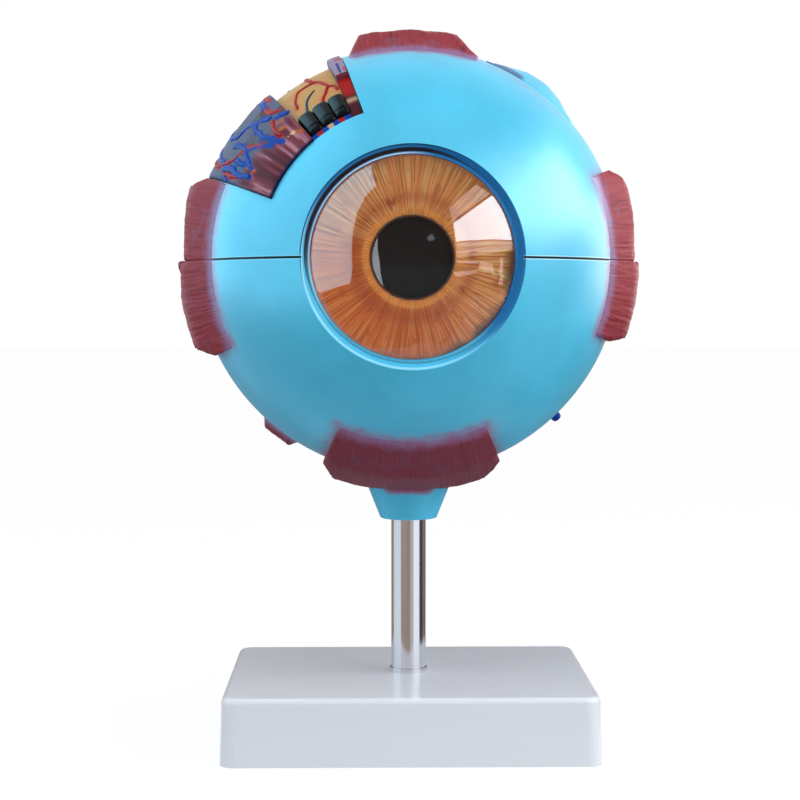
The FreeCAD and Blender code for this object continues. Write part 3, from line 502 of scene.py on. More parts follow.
def nerve_material():
    """Bundles on the nerve's cut end, lines along its side."""
    tone = look().inside
    tree, shader = new_material("nerve_paint", Specular_IOR_Level=0.4, Roughness=0.5)
    point = use_group(tree, "eye_place")["Point"]
    turned = add(tree, "ShaderNodeMapping", {"Vector": point, "Rotation": (0, 0, -math.radians(NERVE_TURN)),
                                             "Scale": (1.0, 0.04, 1.0)}).outputs[0]
    cells = add(tree, "ShaderNodeTexVoronoi", {"Vector": turned, "Scale": 0.85}, feature="DISTANCE_TO_EDGE").outputs[0]
    link(tree, mix(tree, smooth(tree, cells, 0.04, 0.16), linear(tone.nerve_line), linear(tone.nerve)),
         shader["Base Color"])
    link(tree, bump(tree, smooth(tree, cells, 0.0, 0.3), 0.6, 0.0005), shader["Normal"])


def make_materials():
    """All paints, metals and clear plastics."""
    tones = look()
    make_groups()
    sclera_material()
    muscle_material()
    clear = (1.0, 1.0, 1.0, 1.0)
    glass_material("cornea_clear", clear, 1.49, True)
    glass_material("lens_clear", (0.93, 0.9, 0.86, 1.0), 1.45, False)
    glass_material("vitreous_clear", (0.97, 0.98, 0.98, 1.0), 1.36, False)
    metal_material("chrome", tones.stand.chrome, 0.07, 0.3)
    metal_material("zinc", tones.stand.zinc, 0.36, 0.8)
    metal_material("brass", tones.stand.brass, 0.36, 0.6)
    plastic_material()
    painted_material("iris_paint", 0.55, 0.05, 0.1)
    painted_material("window_paint", 0.48, 0.1, 0.04)
    painted_material("retina_window_paint", 0.45, 0.08, 0.06)
    painted_material("edge_paint", 0.37, 0.03, 0.2)
    plain_paint("pigment_paint", tones.window.black, 0.42, 0.1, 0.6)
    plain_paint("vein_paint", tones.window.vein, 0.4, 0.06)
    plain_paint("dark_vein_paint", tones.window.teal, 0.4, 0.06)
    plain_paint("artery_paint", tones.window.artery, 0.4, 0.06)
    plain_paint("bead_paint", tones.front.ring, 0.4, 0.15)
    coat_material("choroid_paint", tones.inside.choroid_dark, tones.inside.choroid, 0.07)
    coat_material("retina_paint", tones.inside.retina_deep, tones.inside.retina, 0.03)
    coat_material("ciliary_paint", tones.inside.choroid_dark, tones.inside.ciliary, 0.2)
    nerve_material()


# ------------------------------------------------------------ mesh building

def node_mesh(name):
    """A CAD node's points, in millimetres from the eye's centre, and triangles, doubles merged."""
    work = bmesh.new()
    work.from_mesh(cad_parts[name].data)
    bmesh.ops.remove_doubles(work, verts=work.verts, dist=0.002 * MM)
    work.verts.index_update()
    points = np.array([v.co[:] for v in work.verts]) / MM - EYE
    faces = np.array([[v.index for v in f.verts] for f in work.faces], int)
    work.free()
    return points, faces


def refine(points, faces, cell):
    """Divides the edges that are longer than cell, which may be a function of their middles.

    An edge whose ends are equally far from the eye's centre, beside a face that looks
    towards or away from it, stays on that sphere."""
    for _ in range(9):
        corner = faces.ravel()
        after = faces[:, [1, 2, 0]].ravel()
        key = np.minimum(corner, after) * len(points) + np.maximum(corner, after)
        edges, back = np.unique(key, return_inverse=True)
        back = back.ravel()
        a, b = edges // len(points), edges % len(points)
        middle = (points[a] + points[b]) / 2
        limit = cell(middle) if callable(cell) else cell
        divided = np.linalg.norm(points[a] - points[b], axis=1) > limit
        if not divided.any():
            break
        normal = np.cross(points[faces[:, 1]] - points[faces[:, 0]], points[faces[:, 2]] - points[faces[:, 0]])
        normal /= np.maximum(np.linalg.norm(normal, axis=1), 1e-12)[:, None]
        heart = points[faces].mean(axis=1)
        heart /= np.maximum(np.linalg.norm(heart, axis=1), 1e-9)[:, None]
        looks_out = np.repeat(np.abs((normal * heart).sum(axis=1)) > 0.99, 3)
        round_edge = np.zeros(len(edges), bool)
        np.logical_or.at(round_edge, back, looks_out)
        ra, rb = np.linalg.norm(points[a], axis=1), np.linalg.norm(points[b], axis=1)
        round_edge &= np.abs(ra - rb) < 0.03
        size = np.maximum(np.linalg.norm(middle, axis=1), 1e-9)
        middle = np.where(round_edge[:, None], middle * ((ra + rb) / 2 / size)[:, None], middle)
        fresh = np.full(len(edges), -1)
        fresh[divided] = len(points) + np.arange(divided.sum())
        points = np.vstack([points, middle[divided]])
        faces = split_faces(faces, fresh[back].reshape(-1, 3))
    return points, faces


def split_faces(faces, middles):
    """Cuts each triangle at the middles of its divided edges."""
    cut = middles >= 0
    kept = [faces[cut.sum(axis=1) == 0]]
    for turn in range(3):
        order = [(turn + k) % 3 for k in range(3)]
        a, b, c = (faces[:, k] for k in order)
        ab, bc, ca = (middles[:, k] for k in order)
        here = cut[:, order]
        one = here[:, 0] & ~here[:, 1] & ~here[:, 2]
        kept += [np.c_[a, ab, c][one], np.c_[ab, b, c][one]]
        two = here[:, 0] & here[:, 1] & ~here[:, 2]
        kept += [np.c_[ab, b, bc][two], np.c_[a, ab, bc][two], np.c_[a, bc, c][two]]
    every = cut.all(axis=1)
    a, b, c = faces[every].T
    ab, bc, ca = middles[every].T
    kept += [np.c_[a, ab, ca], np.c_[ab, b, bc], np.c_[ca, bc, c], np.c_[ab, bc, ca]]
    return np.vstack(kept)


def metres(points):
    """Places in millimetres from the eye's centre as places in the scene."""
    return (np.asarray(points) + EYE) * MM


def show(piece):
    bpy.context.scene.collection.objects.link(piece)


def build(name, points, faces, paint_name, body, slot, nodes=(), crease=32.0, **paints):
    """A finished piece from points in millimetres from the eye's centre.

    Each of paints is stored on the points: one number, three for a place, four for a colour."""
    mesh = bpy.data.meshes.new(name)
    mesh.from_pydata(metres(points).tolist(), [], [list(map(int, f)) for f in faces])
    store(mesh, paints)
    crease_mesh(mesh, crease)
    mesh.materials.append(material(paint_name))
    hand_over(bpy.data.objects.new(name, mesh), body, nodes)


def store(mesh, paints):
    """Keeps named values on the points of a mesh."""
    kinds = {1: ("FLOAT", "value"), 3: ("FLOAT_VECTOR", "vector"), 4: ("FLOAT_COLOR", "color")}
    for key, values in paints.items():
        values = np.asarray(values, np.float32)
        kind, field = kinds[1 if values.ndim == 1 else values.shape[1]]
        mesh.attributes.new(key, kind, "POINT").data.foreach_set(field, values.ravel())


def crease_mesh(mesh, degrees):
    """Smooth shading, with edges that turn by more than this kept sharp."""
    work = bmesh.new()
    work.from_mesh(mesh)
    limit = math.radians(degrees)
    for face in work.faces:
        face.smooth = True
    for edge in work.edges:
        edge.smooth = len(edge.link_faces) == 2 and edge.calc_face_angle(0.0) < limit
    work.to_mesh(mesh)
    work.free()


def hand_over(piece, body, nodes=()):
    """Links a piece to the scene, hangs it on its body and hides the CAD nodes that it stands for."""
    show(piece)
    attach(piece, body)
    if nodes:
        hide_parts(*nodes)


def dress(paint_name, *names):
    """Gives CAD nodes, whose shapes stay, their paint."""
    for name in names:
        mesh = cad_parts[name].data
        mesh.materials.clear()
        mesh.materials.append(material(paint_name))
        for face in mesh.polygons:
            face.material_index = 0


def evaluated_mesh(piece, name):
    """Plain mesh of a piece with its modifier worked out; the piece itself is removed."""
    bpy.context.view_layer.update()
    solid = bpy.data.meshes.new_from_object(piece.evaluated_get(bpy.context.evaluated_depsgraph_get()))
    solid.name = name
    bpy.data.objects.remove(piece)
    return solid


def mesh_arrays(mesh):
    """Points of a mesh, in millimetres from the eye's centre, and its faces."""
    points = np.zeros(len(mesh.vertices) * 3, np.float32)
    mesh.vertices.foreach_get("co", points)
    return points.reshape(-1, 3).astype(float) / MM - EYE, [list(p.vertices) for p in mesh.polygons]


def lathe(outline, steps, around="optical"):
    """Closed solid turned about the optical axis or the upright one.

    outline is a chain of (distance from the axis, place along it); ends on the axis close as poles."""
    turn = np.linspace(0, 2 * math.pi, steps, endpoint=False)
    points, rings, faces = [], [], []
    for rho, along in outline:
        rings.append(len(points))
        for t in (turn if rho > 1e-6 else turn[:1]):
            x, z = rho * math.cos(t), rho * math.sin(t)
            points.append((x, along, z) if around == "optical" else (x, -z, along))
    count_of = [steps if rho > 1e-6 else 1 for rho, _ in outline]
    pairs = list(zip(range(len(outline)), list(range(1, len(outline))) + [0]))
    if count_of[0] == 1 and count_of[-1] == 1:
        pairs = pairs[:-1]
    for i, j in pairs:
        for k in range(steps):
            n = (k + 1) % steps
            a, b = rings[i] + (k if count_of[i] > 1 else 0), rings[i] + (n if count_of[i] > 1 else 0)
            c, d = rings[j] + (n if count_of[j] > 1 else 0), rings[j] + (k if count_of[j] > 1 else 0)
            face = [a, b, c, d]
            faces.append([v for q, v in enumerate(face) if v not in face[:q]])
    return np.array(points), faces


def outwards(points, faces):
    """The faces, turned over if the closed solid is inside out."""
    volume = 0.0
    for face in faces:
        p = points[face]
        for k in range(1, len(face) - 1):
            volume += float(np.dot(p[0], np.cross(p[k], p[k + 1])))
    return faces if volume > 0 else [f[::-1] for f in faces]


# ------------------------------------------------------------ places on the eye

def angles(points):
    """theta and phi of points, in degrees, and their distance from the centre."""
    radius = np.maximum(np.linalg.norm(points, axis=1), 1e-9)
    theta = np.degrees(np.arctan2(points[:, 2], points[:, 0])) % 360
    phi = np.degrees(np.arccos(np.clip(-points[:, 1] / radius, -1, 1)))
    return theta, phi, radius


def on_eye(radius, theta, phi):
    """Points from their distance from the centre and their two angles in degrees."""
    theta, phi = np.radians(theta), np.radians(phi)
    return np.stack([radius * np.sin(phi) * np.cos(theta), -radius * np.cos(phi),
                     radius * np.sin(phi) * np.sin(theta)], axis=-1)


def ease(value, low, high):
    """0 below low, 1 above high, and eased in between; the other way round where high is the lower."""
    t = np.clip((value - low) / (high - low), 0, 1)
    return t * t * (3 - 2 * t)


def band(value, middle, width):
    """1 at the middle, falling off on both sides."""
    return np.exp(-((value - middle) / width) ** 2)


def lattice(u, v, cells_u, cells_v, seed):
    """Smooth noise from 0 to 1 that repeats once in u, and once in v, from 0 to 1."""
    table = np.random.default_rng(seed).random((cells_u, cells_v))
    x, y = (u % 1.0) * cells_u, (v % 1.0) * cells_v
    i, j = np.floor(x).astype(int), np.floor(y).astype(int)
    fx, fy = x - i, y - j
    fx, fy = fx * fx * (3 - 2 * fx), fy * fy * (3 - 2 * fy)
    i, j = i % cells_u, j % cells_v
    i2, j2 = (i + 1) % cells_u, (j + 1) % cells_v
    return (table[i, j] * (1 - fx) * (1 - fy) + table[i2, j] * fx * (1 - fy)
            + table[i, j2] * (1 - fx) * fy + table[i2, j2] * fx * fy)


def tint(base, *layers):
    """Lays colours over a base one after another, each with its own weight for every point."""
    made = np.tile(np.array(linear(base))[:3], (len(layers[0][1]), 1))
    for colour, weight in layers:
        made = made + np.clip(weight, 0, 1)[:, None] * (np.array(linear(colour))[:3] - made)
    return np.c_[made, np.ones(len(made))]


# ------------------------------------------------------------ measures of the eye, in millimetres

WALL, GLUE = 5.0, 0.12
RIM_R, BEVEL_R = 34.8, 32.6
CORNEA_R, CORNEA_CURVE, CORNEA_WALL = 32.3, 46.8, 2.0
CORNEA_EDGE_Y, CORNEA_BACK_Y = -61.53, -58.23
IRIS_R, PUPIL_R, COLLARETTE_R = 32.0, 12.5, 16.0
BEAD_R, BEAD_SIZE = 14.6, (1.15, 0.22, 0.34)
IRIS_FRONT_Y, IRIS_BACK_Y = -57.58, -55.88
LENS_R, LENS_FRONT_Y, LENS_EDGE, LENS_CURVES = 25.0, -55.58, 2.0, (60.0, 36.0)
VITREOUS_R, VITREOUS_PHI, HOLLOW_GAP = 62.46, 51.0, 0.3
RETINA_IN_R, CHOROID_OUT_R, CILIARY_PHI = 62.76, 64.26, 49.5
NERVE_TURN = 15.0
MUSCLE_BACK = 22.0
# The cut choroid: where it steps down beside the vessel coat, where its long strip begins, where its squares end.
STEP_THETA, STRIP_THETA, TILES_PHI = 130.0, 112.6, 44.5
# The red spray beside the muscles: its strength at their edges and how far it goes.
HAZE_PEAK, HAZE_REACH = 0.36, 3.4

# theta of the middle, phi of the front edge, and how far it reaches either way
MUSCLES = {
    "superior_rectus": (90.0, 71.0, -15.0, 14.5, "upper_half"),
    "inferior_rectus": (270.0, 53.0, -23.4, 24.2, "lower_half"),
    "medial_rectus_upper": (180.0, 62.0, -21.5, 0.0, "upper_half"),
    "medial_rectus_lower": (180.0, 62.0, 0.0, 25.0, "lower_half"),
    "lateral_rectus_upper": (0.0, 63.0, 0.0, 24.0, "upper_half"),
    "lateral_rectus_lower": (0.0, 63.0, -21.5, 0.0, "lower_half"),
    "superior_oblique": (56.0, 76.0, -15.7, 13.1, "upper_half"),
    "inferior_oblique": (233.0, 84.0, -6.5, 5.5, "lower_half"),
}

# theta and height of the crest of the superior oblique
OBLIQUE_CREST = [(40.3, 0.3), (44.0, 2.6), (47.3, 3.95), (53.1, 4.9), (58.1, 4.4), (63.9, 2.9), (69.1, 0.7)]

# Vessels as (theta, phi) along their length, their half width at both ends.
CHOROID_VEINS = [
    ((0.9, 0.7), [(129.6, 56.0), (132.3, 57.5), (134.2, 58.9)]),
    ((1.0, 0.25), [(134.8, 60.2), (137.7, 64.0), (139.9, 62.6), (140.5, 58.1), (139.6, 53.0), (138.4, 48.6)]),
    ((0.9, 0.5), [(138.4, 64.0), (140.2, 67.3), (142.3, 69.4), (144.6, 71.3), (145.2, 80.0), (142.0, 92.0),
                  (138.0, 106.0)]),
    ((1.0, 0.3), [(146.9, 68.5), (146.2, 62.7), (146.1, 58.9), (143.5, 55.3), (141.2, 50.4)]),
    ((0.8, 0.4), [(146.2, 60.4), (148.4, 57.0), (150.6, 52.7)]),
    ((0.7, 0.4), [(150.3, 62.5), (150.9, 56.6)]),
    ((1.1, 0.8), [(153.9, 67.7), (153.3, 62.0), (154.3, 57.1), (153.4, 51.5)]),
    ((0.5, 0.4), [(155.8, 65.6), (156.9, 61.6)]),
    ((0.7, 0.6), [(152.6, 69.0), (151.0, 78.0), (147.5, 90.0), (141.0, 104.0)]),
    ((0.6, 0.6), [(134.0, 67.5), (133.4, 78.0), (136.0, 92.0), (138.5, 106.0)]),
]
CHOROID_ARTERIES = [
    ((0.42, 0.32), [(153.3, 69.8), (151.1, 64.1), (148.1, 61.5), (145.7, 59.4), (142.8, 54.1)]),
    ((0.9, 0.7), [(134.0, 66.8), (133.7, 62.2), (131.4, 60.0)]),
    ((0.8, 0.5), [(135.2, 58.9), (136.9, 54.0), (136.9, 50.5)]),
    ((0.5, 0.4), [(155.3, 66.2), (155.2, 59.6), (154.9, 56.6)]),
    ((0.45, 0.4), [(154.0, 71.0), (153.4, 82.0), (150.0, 96.0), (146.0, 110.0)]),
    ((0.45, 0.4), [(131.6, 70.0), (131.8, 84.0), (133.0, 98.0), (135.0, 110.0)]),
]
RETINA_ARTERIES = [
    ((0.5, 0.35), [(119.0, 70.5), (117.1, 67.0), (115.6, 61.7), (113.9, 59.9), (113.4, 56.8)]),
    ((0.5, 0.38), [(115.6, 61.7), (117.3, 58.0), (118.9, 56.0), (120.0, 53.2)]),
    ((0.42, 0.34), [(118.4, 69.0), (122.1, 69.7), (124.4, 68.3), (126.2, 63.8), (127.2, 58.8)]),
    ((0.5, 0.5), [(119.0, 70.5), (119.8, 82.0), (118.4, 96.0), (119.5, 112.0)]),
]
RETINA_VEINS = [
    ((0.3, 0.42), [(119.5, 63.3), (121.9, 61.3), (123.8, 58.7), (125.1, 55.0), (125.3, 52.4)]),
    ((0.34, 0.4), [(125.4, 86.0), (124.8, 98.0), (123.5, 110.0)]),
]
# Dabs of paint on the vessel coat: radius and (theta, phi); the glint is a painted highlight.
WINDOW_DABS = {
    "ochre": [(2.0, (134.9, 52.4)), (1.7, (136.0, 55.8)), (1.5, (133.6, 55.2)), (1.5, (131.9, 46.5)),
              (1.8, (152.7, 51.2)), (1.4, (150.8, 54.0)), (1.2, (139.5, 49.0))],
    "green": [(1.3, (137.3, 66.7)), (1.4, (153.0, 61.9)), (1.0, (135.4, 58.2)), (1.0, (143.8, 60.2))],
    "glint": [(0.75, (134.3, 47.9))],
}

# What the glossy parts mirror, in metres from the eye's centre: name, plane (axis, place), corners on it,
# colour and strength.
SHADE = (0.085, 0.075, 0.07)
ROOM_CARDS = [
    ("window_pane", (0, 1.0), [(-1.49, 0.84), (-0.18, 0.79), (0.43, 0.8), (0.43, 0.27), (-0.1, 0.19), (-1.49, 0.38)],
     (0.76, 0.89, 1.0), 1.0),
    ("left_wall", (0, -1.0), [(-0.98, -0.16), (-0.95, 0.33), (-0.92, 0.76), (-0.94, 1.34), (-1.11, 2.09), (-0.3, 2.35),
                              (0.9, 2.35), (0.9, -0.16)], (0.42, 0.83, 1.0), 1.0),
    ("left_floor", (2, -0.161), [(-1.0, -0.98), (-0.394, -0.373), (-0.427, -0.25), (-0.441, -0.121), (-0.6, -0.05),
                                 (-1.0, 0.3)], (0.42, 0.83, 1.0), 1.0),
    ("street", (0, 1.01), [(0.3, -0.16), (1.8, -0.16), (1.8, 0.35), (0.3, 0.35)], (1.0, 0.93, 0.85), 5.5),
    ("gable", (0, 1.0), [(-1.49, 1.35), (-0.26, 1.14), (-0.14, 0.83), (-1.49, 0.89)], (1.0, 0.86, 0.8), 4.5),
    ("terrace", (0, 1.0), [(-1.49, 0.37), (-0.11, 0.18), (-0.13, 0.1), (-1.49, 0.0)], (1.0, 0.82, 0.72), 4.0),
    ("eaves", (0, 0.99), [(-1.49, 0.33), (-0.11, 0.168), (-0.115, 0.152), (-1.49, 0.26)], (1.0, 0.93, 0.88), 6.5),
    ("arcade", (0, 0.99), [(-1.49, 0.17), (-0.12, 0.135), (-0.125, 0.118), (-1.49, 0.1)], (1.0, 0.93, 0.88), 6.0),
    ("kerb", (0, 1.0), [(-1.49, -0.05), (-0.83, -0.04), (-0.83, -0.075), (-1.49, -0.1)], (1.0, 0.95, 0.9), 6.0),
    ("cart", (0, 1.0), [(-0.8, -0.16), (-0.45, -0.16), (-0.5, -0.06), (-0.78, -0.04)], (1.0, 0.92, 0.85), 5.0),
    ("puddle", (2, -0.161), [(0.38, -0.6), (0.72, -0.62), (0.95, -0.8), (0.69, -0.81), (0.5, -0.85)],
     (1.0, 0.95, 0.9), 5.0),
    ("post", (0, 1.0), [(-0.36, -0.16), (-0.31, -0.16), (-0.31, 0.02), (-0.36, 0.02)], (1.0, 0.97, 0.95), 5.0),
    ("post_floor", (2, -0.161), [(1.0, -0.33), (1.0, -0.28), (0.6, -0.18), (0.57, -0.217)], (1.0, 0.97, 0.95), 4.0),
    ("glint_left", (1, -1.49), [(-0.739, 0.449), (-0.826, 0.241), (-0.856, 0.017), (-0.84, -0.16), (-0.66, -0.16),
                                (-0.686, 0.015), (-0.723, 0.212)], (0.86, 0.93, 1.0), 7.0),
    ("glint_floor", (2, -0.161), [(-0.8, -1.45), (-0.646, -1.166), (-0.289, -0.6), (-0.164, -0.43), (-0.29, -0.69),
                                  (-0.654, -1.47)], (0.86, 0.93, 1.0), 7.0),
    ("glint_right", (1, -1.49), [(0.31, 0.43), (0.42, 0.5), (0.48, 0.39), (0.34, 0.32)], (0.8, 0.9, 1.0), 2.5),
    ("dark_floor", (2, -0.1618), [(-1.0, -1.5), (1.05, -1.5), (1.05, -0.14), (-1.0, -0.14)], (0.15, 0.19, 0.24), 1.0),
    ("front_wall", (1, -1.5), [(-1.0, -0.16), (1.05, -0.16), (1.05, 2.8), (-1.0, 2.8)], SHADE, 1.0),
    ("far_left_wall", (0, -1.01), [(-1.5, -0.16), (-0.3, -0.16), (-0.3, 2.8), (-1.5, 2.8)], SHADE, 1.0),
    ("right_wall", (0, 1.05), [(-1.5, -0.16), (0.6, -0.16), (0.6, 2.8), (-1.5, 2.8)], SHADE, 1.2),
    ("ceiling", (2, 2.8), [(-1.0, -1.5), (1.05, -1.5), (1.05, 0.6), (-1.0, 0.6)], SHADE, 2.5),
]

# Low cards all round, that give the rod its bands: from and to degrees from the front, colour. They stand
# BAND_AWAY metres from the rod, and reach from BAND_LOW to BAND_TOP metres above the ground.
BAND_AWAY, BAND_LOW, BAND_TOP = 0.12, 0.001, 0.125
ROD_BANDS = [
    ("band_back_left", -180, -115, (0.30, 0.24, 0.22)),
    ("band_left", -115, -52, (0.70, 0.74, 0.82)),
    ("band_front", -52, 10, (0.34, 0.26, 0.225)),
    ("band_front_right", 10, 32, (0.50, 0.48, 0.48)),
    ("band_right", 32, 75, (0.92, 0.98, 1.08)),
    ("band_dark", 75, 105, (0.06, 0.045, 0.055)),
    ("band_back_right", 105, 180, (0.19, 0.15, 0.135)),
]


# ------------------------------------------------------------ geometry nodes

def new_tree(name, inputs):
    """A geometry tree with a Geometry input and output and the named inputs; returns their identifiers."""
    tree = bpy.data.node_groups.new(name, "GeometryNodeTree")
    tree.interface.new_socket(name="Geometry", in_out="INPUT", socket_type="NodeSocketGeometry")
    for key, kind in inputs.items():
        tree.interface.new_socket(name=key, in_out="INPUT", socket_type=kind)
    tree.interface.new_socket(name="Geometry", in_out="OUTPUT", socket_type="NodeSocketGeometry")
    return tree, add(tree, "NodeGroupInput").outputs, add(tree, "NodeGroupOutput").inputs


def finish_tree(tree, geometry, given, out):
    """Ends a tree with smooth shading, real instances and the given material."""
    real = add(tree, "GeometryNodeRealizeInstances", {0: geometry}).outputs[0]
    smoothed = add(tree, "GeometryNodeSetShadeSmooth", {0: real}).outputs[0]
    painted = add(tree, "GeometryNodeSetMaterial", {"Geometry": smoothed, "Material": given["Material"]}).outputs[0]
    link(tree, painted, out["Geometry"])


def make_trees():
    """The geometry trees that more than one piece grows from."""
    # Tubes along the edges of a mesh, as thick as its points say.
    tree, given, out = new_tree("vessel_tubes", {"Sides": "NodeSocketInt", "Thickness": "NodeSocketFloat",
                                                 "Material": "NodeSocketMaterial"})
    line = add(tree, "GeometryNodeMeshToCurve", {"Mesh": given["Geometry"]}).outputs[0]
    ring = add(tree, "GeometryNodeCurvePrimitiveCircle", {"Resolution": given["Sides"], "Radius": 1.0}).outputs[0]
    wide = add(tree, "GeometryNodeInputNamedAttribute", {"Name": "half_width"}, data_type="FLOAT").outputs[0]
    scale = times(tree, wide, given["Thickness"])
    tube = add(tree, "GeometryNodeCurveToMesh", {"Curve": line, "Profile Curve": ring, "Scale": scale,
                                                 "Fill Caps": True}).outputs[0]
    finish_tree(tree, tube, given, out)

    # Copies of a shape turned about an axis through a centre.
    tree, given, out = new_tree("ring_of_copies", {"Copies": "NodeSocketInt", "First turn": "NodeSocketFloat",
                                                   "Turn": "NodeSocketFloat", "Axis": "NodeSocketVector",
                                                   "Centre": "NodeSocketVector", "Material": "NodeSocketMaterial"})
    spots = add(tree, "GeometryNodePoints", {"Count": given["Copies"], "Position": given["Centre"]}).outputs[0]
    index = add(tree, "GeometryNodeInputIndex").outputs[0]
    turn = maths(tree, "MULTIPLY_ADD", index, given["Turn"], given["First turn"])
    rotation = vectors(tree, "SCALE", given["Axis"], scale=turn)
    copies = add(tree, "GeometryNodeInstanceOnPoints", {"Points": spots, "Instance": given["Geometry"],
                                                        "Rotation": rotation}).outputs[0]
    finish_tree(tree, copies, given, out)


def grow(name, mesh, tree_name, values):
    """The mesh that a geometry tree makes from another."""
    piece = bpy.data.objects.new(name + "_source", mesh)
    show(piece)
    modifier = piece.modifiers.new(tree_name, "NODES")
    modifier.node_group = bpy.data.node_groups[tree_name]
    for item in modifier.node_group.interface.items_tree:
        if item.in_out == "INPUT" and item.name in values:
            modifier[item.identifier] = values[item.name]
    return evaluated_mesh(piece, name)


def ring_of_copies(name, shape, copies, first_turn, turn, paint_name, body):
    """Copies of a small mesh turned round the optical axis, as one piece."""
    made = grow(name, shape, "ring_of_copies",
                {"Copies": copies, "First turn": first_turn, "Turn": turn, "Axis": (0.0, -1.0, 0.0),
                 "Centre": tuple(UP_TO_EYE), "Material": material(paint_name)})
    hand_over(bpy.data.objects.new(name, made), body)


def soft_line(points, step):
    """Points a step apart along a smooth curve through the given ones."""
    points = np.asarray(points, float)
    padded = np.vstack([2 * points[0] - points[1], points, 2 * points[-1] - points[-2]])
    made = []
    for k in range(1, len(padded) - 2):
        a, b, c, d = padded[k - 1:k + 3]
        steps = max(2, int(np.linalg.norm(c - b) / step))
        for t in np.arange(steps) / steps:
            made.append(0.5 * (2 * b + (c - a) * t + (2 * a - 5 * b + 4 * c - d) * t ** 2
                               + (3 * b - a - 3 * c + d) * t ** 3))
    made.append(points[-1])
    return np.array(made)


def vessels(name, paths, radius, flatten, paint_name, body, wander=0.0, seed=1, thickness=1.0):
    """Tubes that lie on a sphere: each path holds half widths and (theta, phi) places."""
    rng = np.random.default_rng(seed)
    points, edges, widths = [], [], []
    for (start, end), places in paths:
        track = soft_line(on_eye(radius, *np.array(places, float).T), 0.6)
        along = np.linspace(0, 1, len(track))
        if wander:
            wave = lattice(along * len(track) / 90.0, along * 0 + 0.37, 23, 3, int(rng.integers(1000))) - 0.5
            side = np.cross(np.gradient(track, axis=0), track)
            side /= np.linalg.norm(side, axis=1)[:, None]
            track = track + side * (wave * wander)[:, None]
        track *= (radius / np.linalg.norm(track, axis=1))[:, None]
        width = start + (end - start) * along
        width = width * (0.86 + 0.28 * lattice(along * len(track) / 60.0, along * 0 + 0.71, 17, 3,
                                                int(rng.integers(1000))))
        width[[0, -1]] *= 0.45
        first = len(points)
        points += list(track)
        edges += [(first + k, first + k + 1) for k in range(len(track) - 1)]
        widths += list(width)
    mesh = bpy.data.meshes.new(name + "_paths")
    mesh.from_pydata(metres(points).tolist(), edges, [])
    store(mesh, {"half_width": np.array(widths) * MM})
    made = grow(name, mesh, "vessel_tubes", {"Sides": 10, "Thickness": thickness, "Material": material(paint_name)})
    where, faces = mesh_arrays(made)
    far = np.linalg.norm(where, axis=1)
    where *= ((radius + (far - radius) * flatten) / far)[:, None]
    made.vertices.foreach_set("co", metres(where).astype(np.float32).ravel())
    made.update()
    hand_over(bpy.data.objects.new(name, made), body)


# ------------------------------------------------------------ the stand

def build_stand():
    """Base, rod and fittings; the rod gets a rounder, polished shape."""
    dress("base_plastic", "base", "base_cover")
    dress("zinc", "rod_screw", "rod_washer", "eye_screw", "eye_washer", "locating_pins")
    dress("chrome", "rod_collar")
    dress("brass", "socket_bush")
    low, high = (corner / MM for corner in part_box("rod"))
    radius, hole, deep, chamfer = high.x, 2.5, 9.3, 0.6
    outline = [(0, low.z + deep), (hole, low.z + deep), (hole, low.z), (radius - chamfer, low.z),
               (radius, low.z + chamfer), (radius, high.z - chamfer), (radius - chamfer, high.z),
               (hole, high.z), (hole, high.z - deep), (0, high.z - deep)]
    points, faces = lathe([(rho, z - EYE[2]) for rho, z in outline], 160, "upright")
    build("polished_rod", points, outwards(points, faces), "chrome", "stand", "chrome", ["rod"])


# ------------------------------------------------------------ the two halves of the wall

def muscle_haze(points):
    """How far the red spray of the muscles goes on the blue: strongest at a muscle's edge, none further off."""
    theta, phi, radius = angles(points)
    haze = np.zeros(len(points))
    for name, (middle, front, low, high, _) in MUSCLES.items():
        if "oblique" in name:
            continue
        turn = (theta - middle + 180) % 360 - 180
        across = np.maximum(np.maximum(low - turn, turn - high), 0) * DEGREE * EYE_R * np.sin(np.radians(phi))
        ahead = np.maximum(front - phi, 0) * DEGREE * EYE_R
        behind = np.maximum(points[:, 1] - MUSCLE_BACK, 0)
        away = np.sqrt(across ** 2 + ahead ** 2 + behind ** 2)
        haze = np.maximum(haze, HAZE_PEAK * np.exp(-(away / HAZE_REACH) ** 1.4))
    haze *= 1 - ease(radius, EYE_R + 0.4, EYE_R + 1.6)
    beside_oblique = 0.22 * band(phi, 72, 2.6) * ease(theta, 36, 45) * (1 - ease(theta, 66, 73))
    on_boss = ease(points[:, 2], -79.5, -75.5) * (1 - ease(np.abs(points[:, 0]), 6, 10)) * (points[:, 1] < 0)
    return np.maximum(haze + beside_oblique, 0.9 * on_boss * (radius > EYE_R + 0.6))


def build_sclera():
    """Wall of both halves, fine enough to carry the spray beside the muscles."""
    for node, body in (("upper_sclera", "upper_half"), ("lower_sclera", "lower_half")):
        points, faces = node_mesh(node)
        points, faces = refine(points, faces,
                               lambda middle: np.where(np.linalg.norm(middle, axis=1) > EYE_R - 0.6, 1.5, 4.0))
        build(node + "_painted", points, faces, "sclera_paint", body, "blue_sclera", [node],
              haze=muscle_haze(points))


def soften(points, faces, held, rounds):
    """Rounds off a mesh, leaving the held points where they are."""
    a, b = faces.ravel(), faces[:, [1, 2, 0]].ravel()
    share_of = np.maximum(np.bincount(a, minlength=len(points)), 1)
    for _ in range(rounds):
        near = np.stack([np.bincount(a, points[b, k], len(points)) for k in range(3)], axis=1) / share_of[:, None]
        points = np.where(held[:, None], points, (points + near) / 2)
    return points


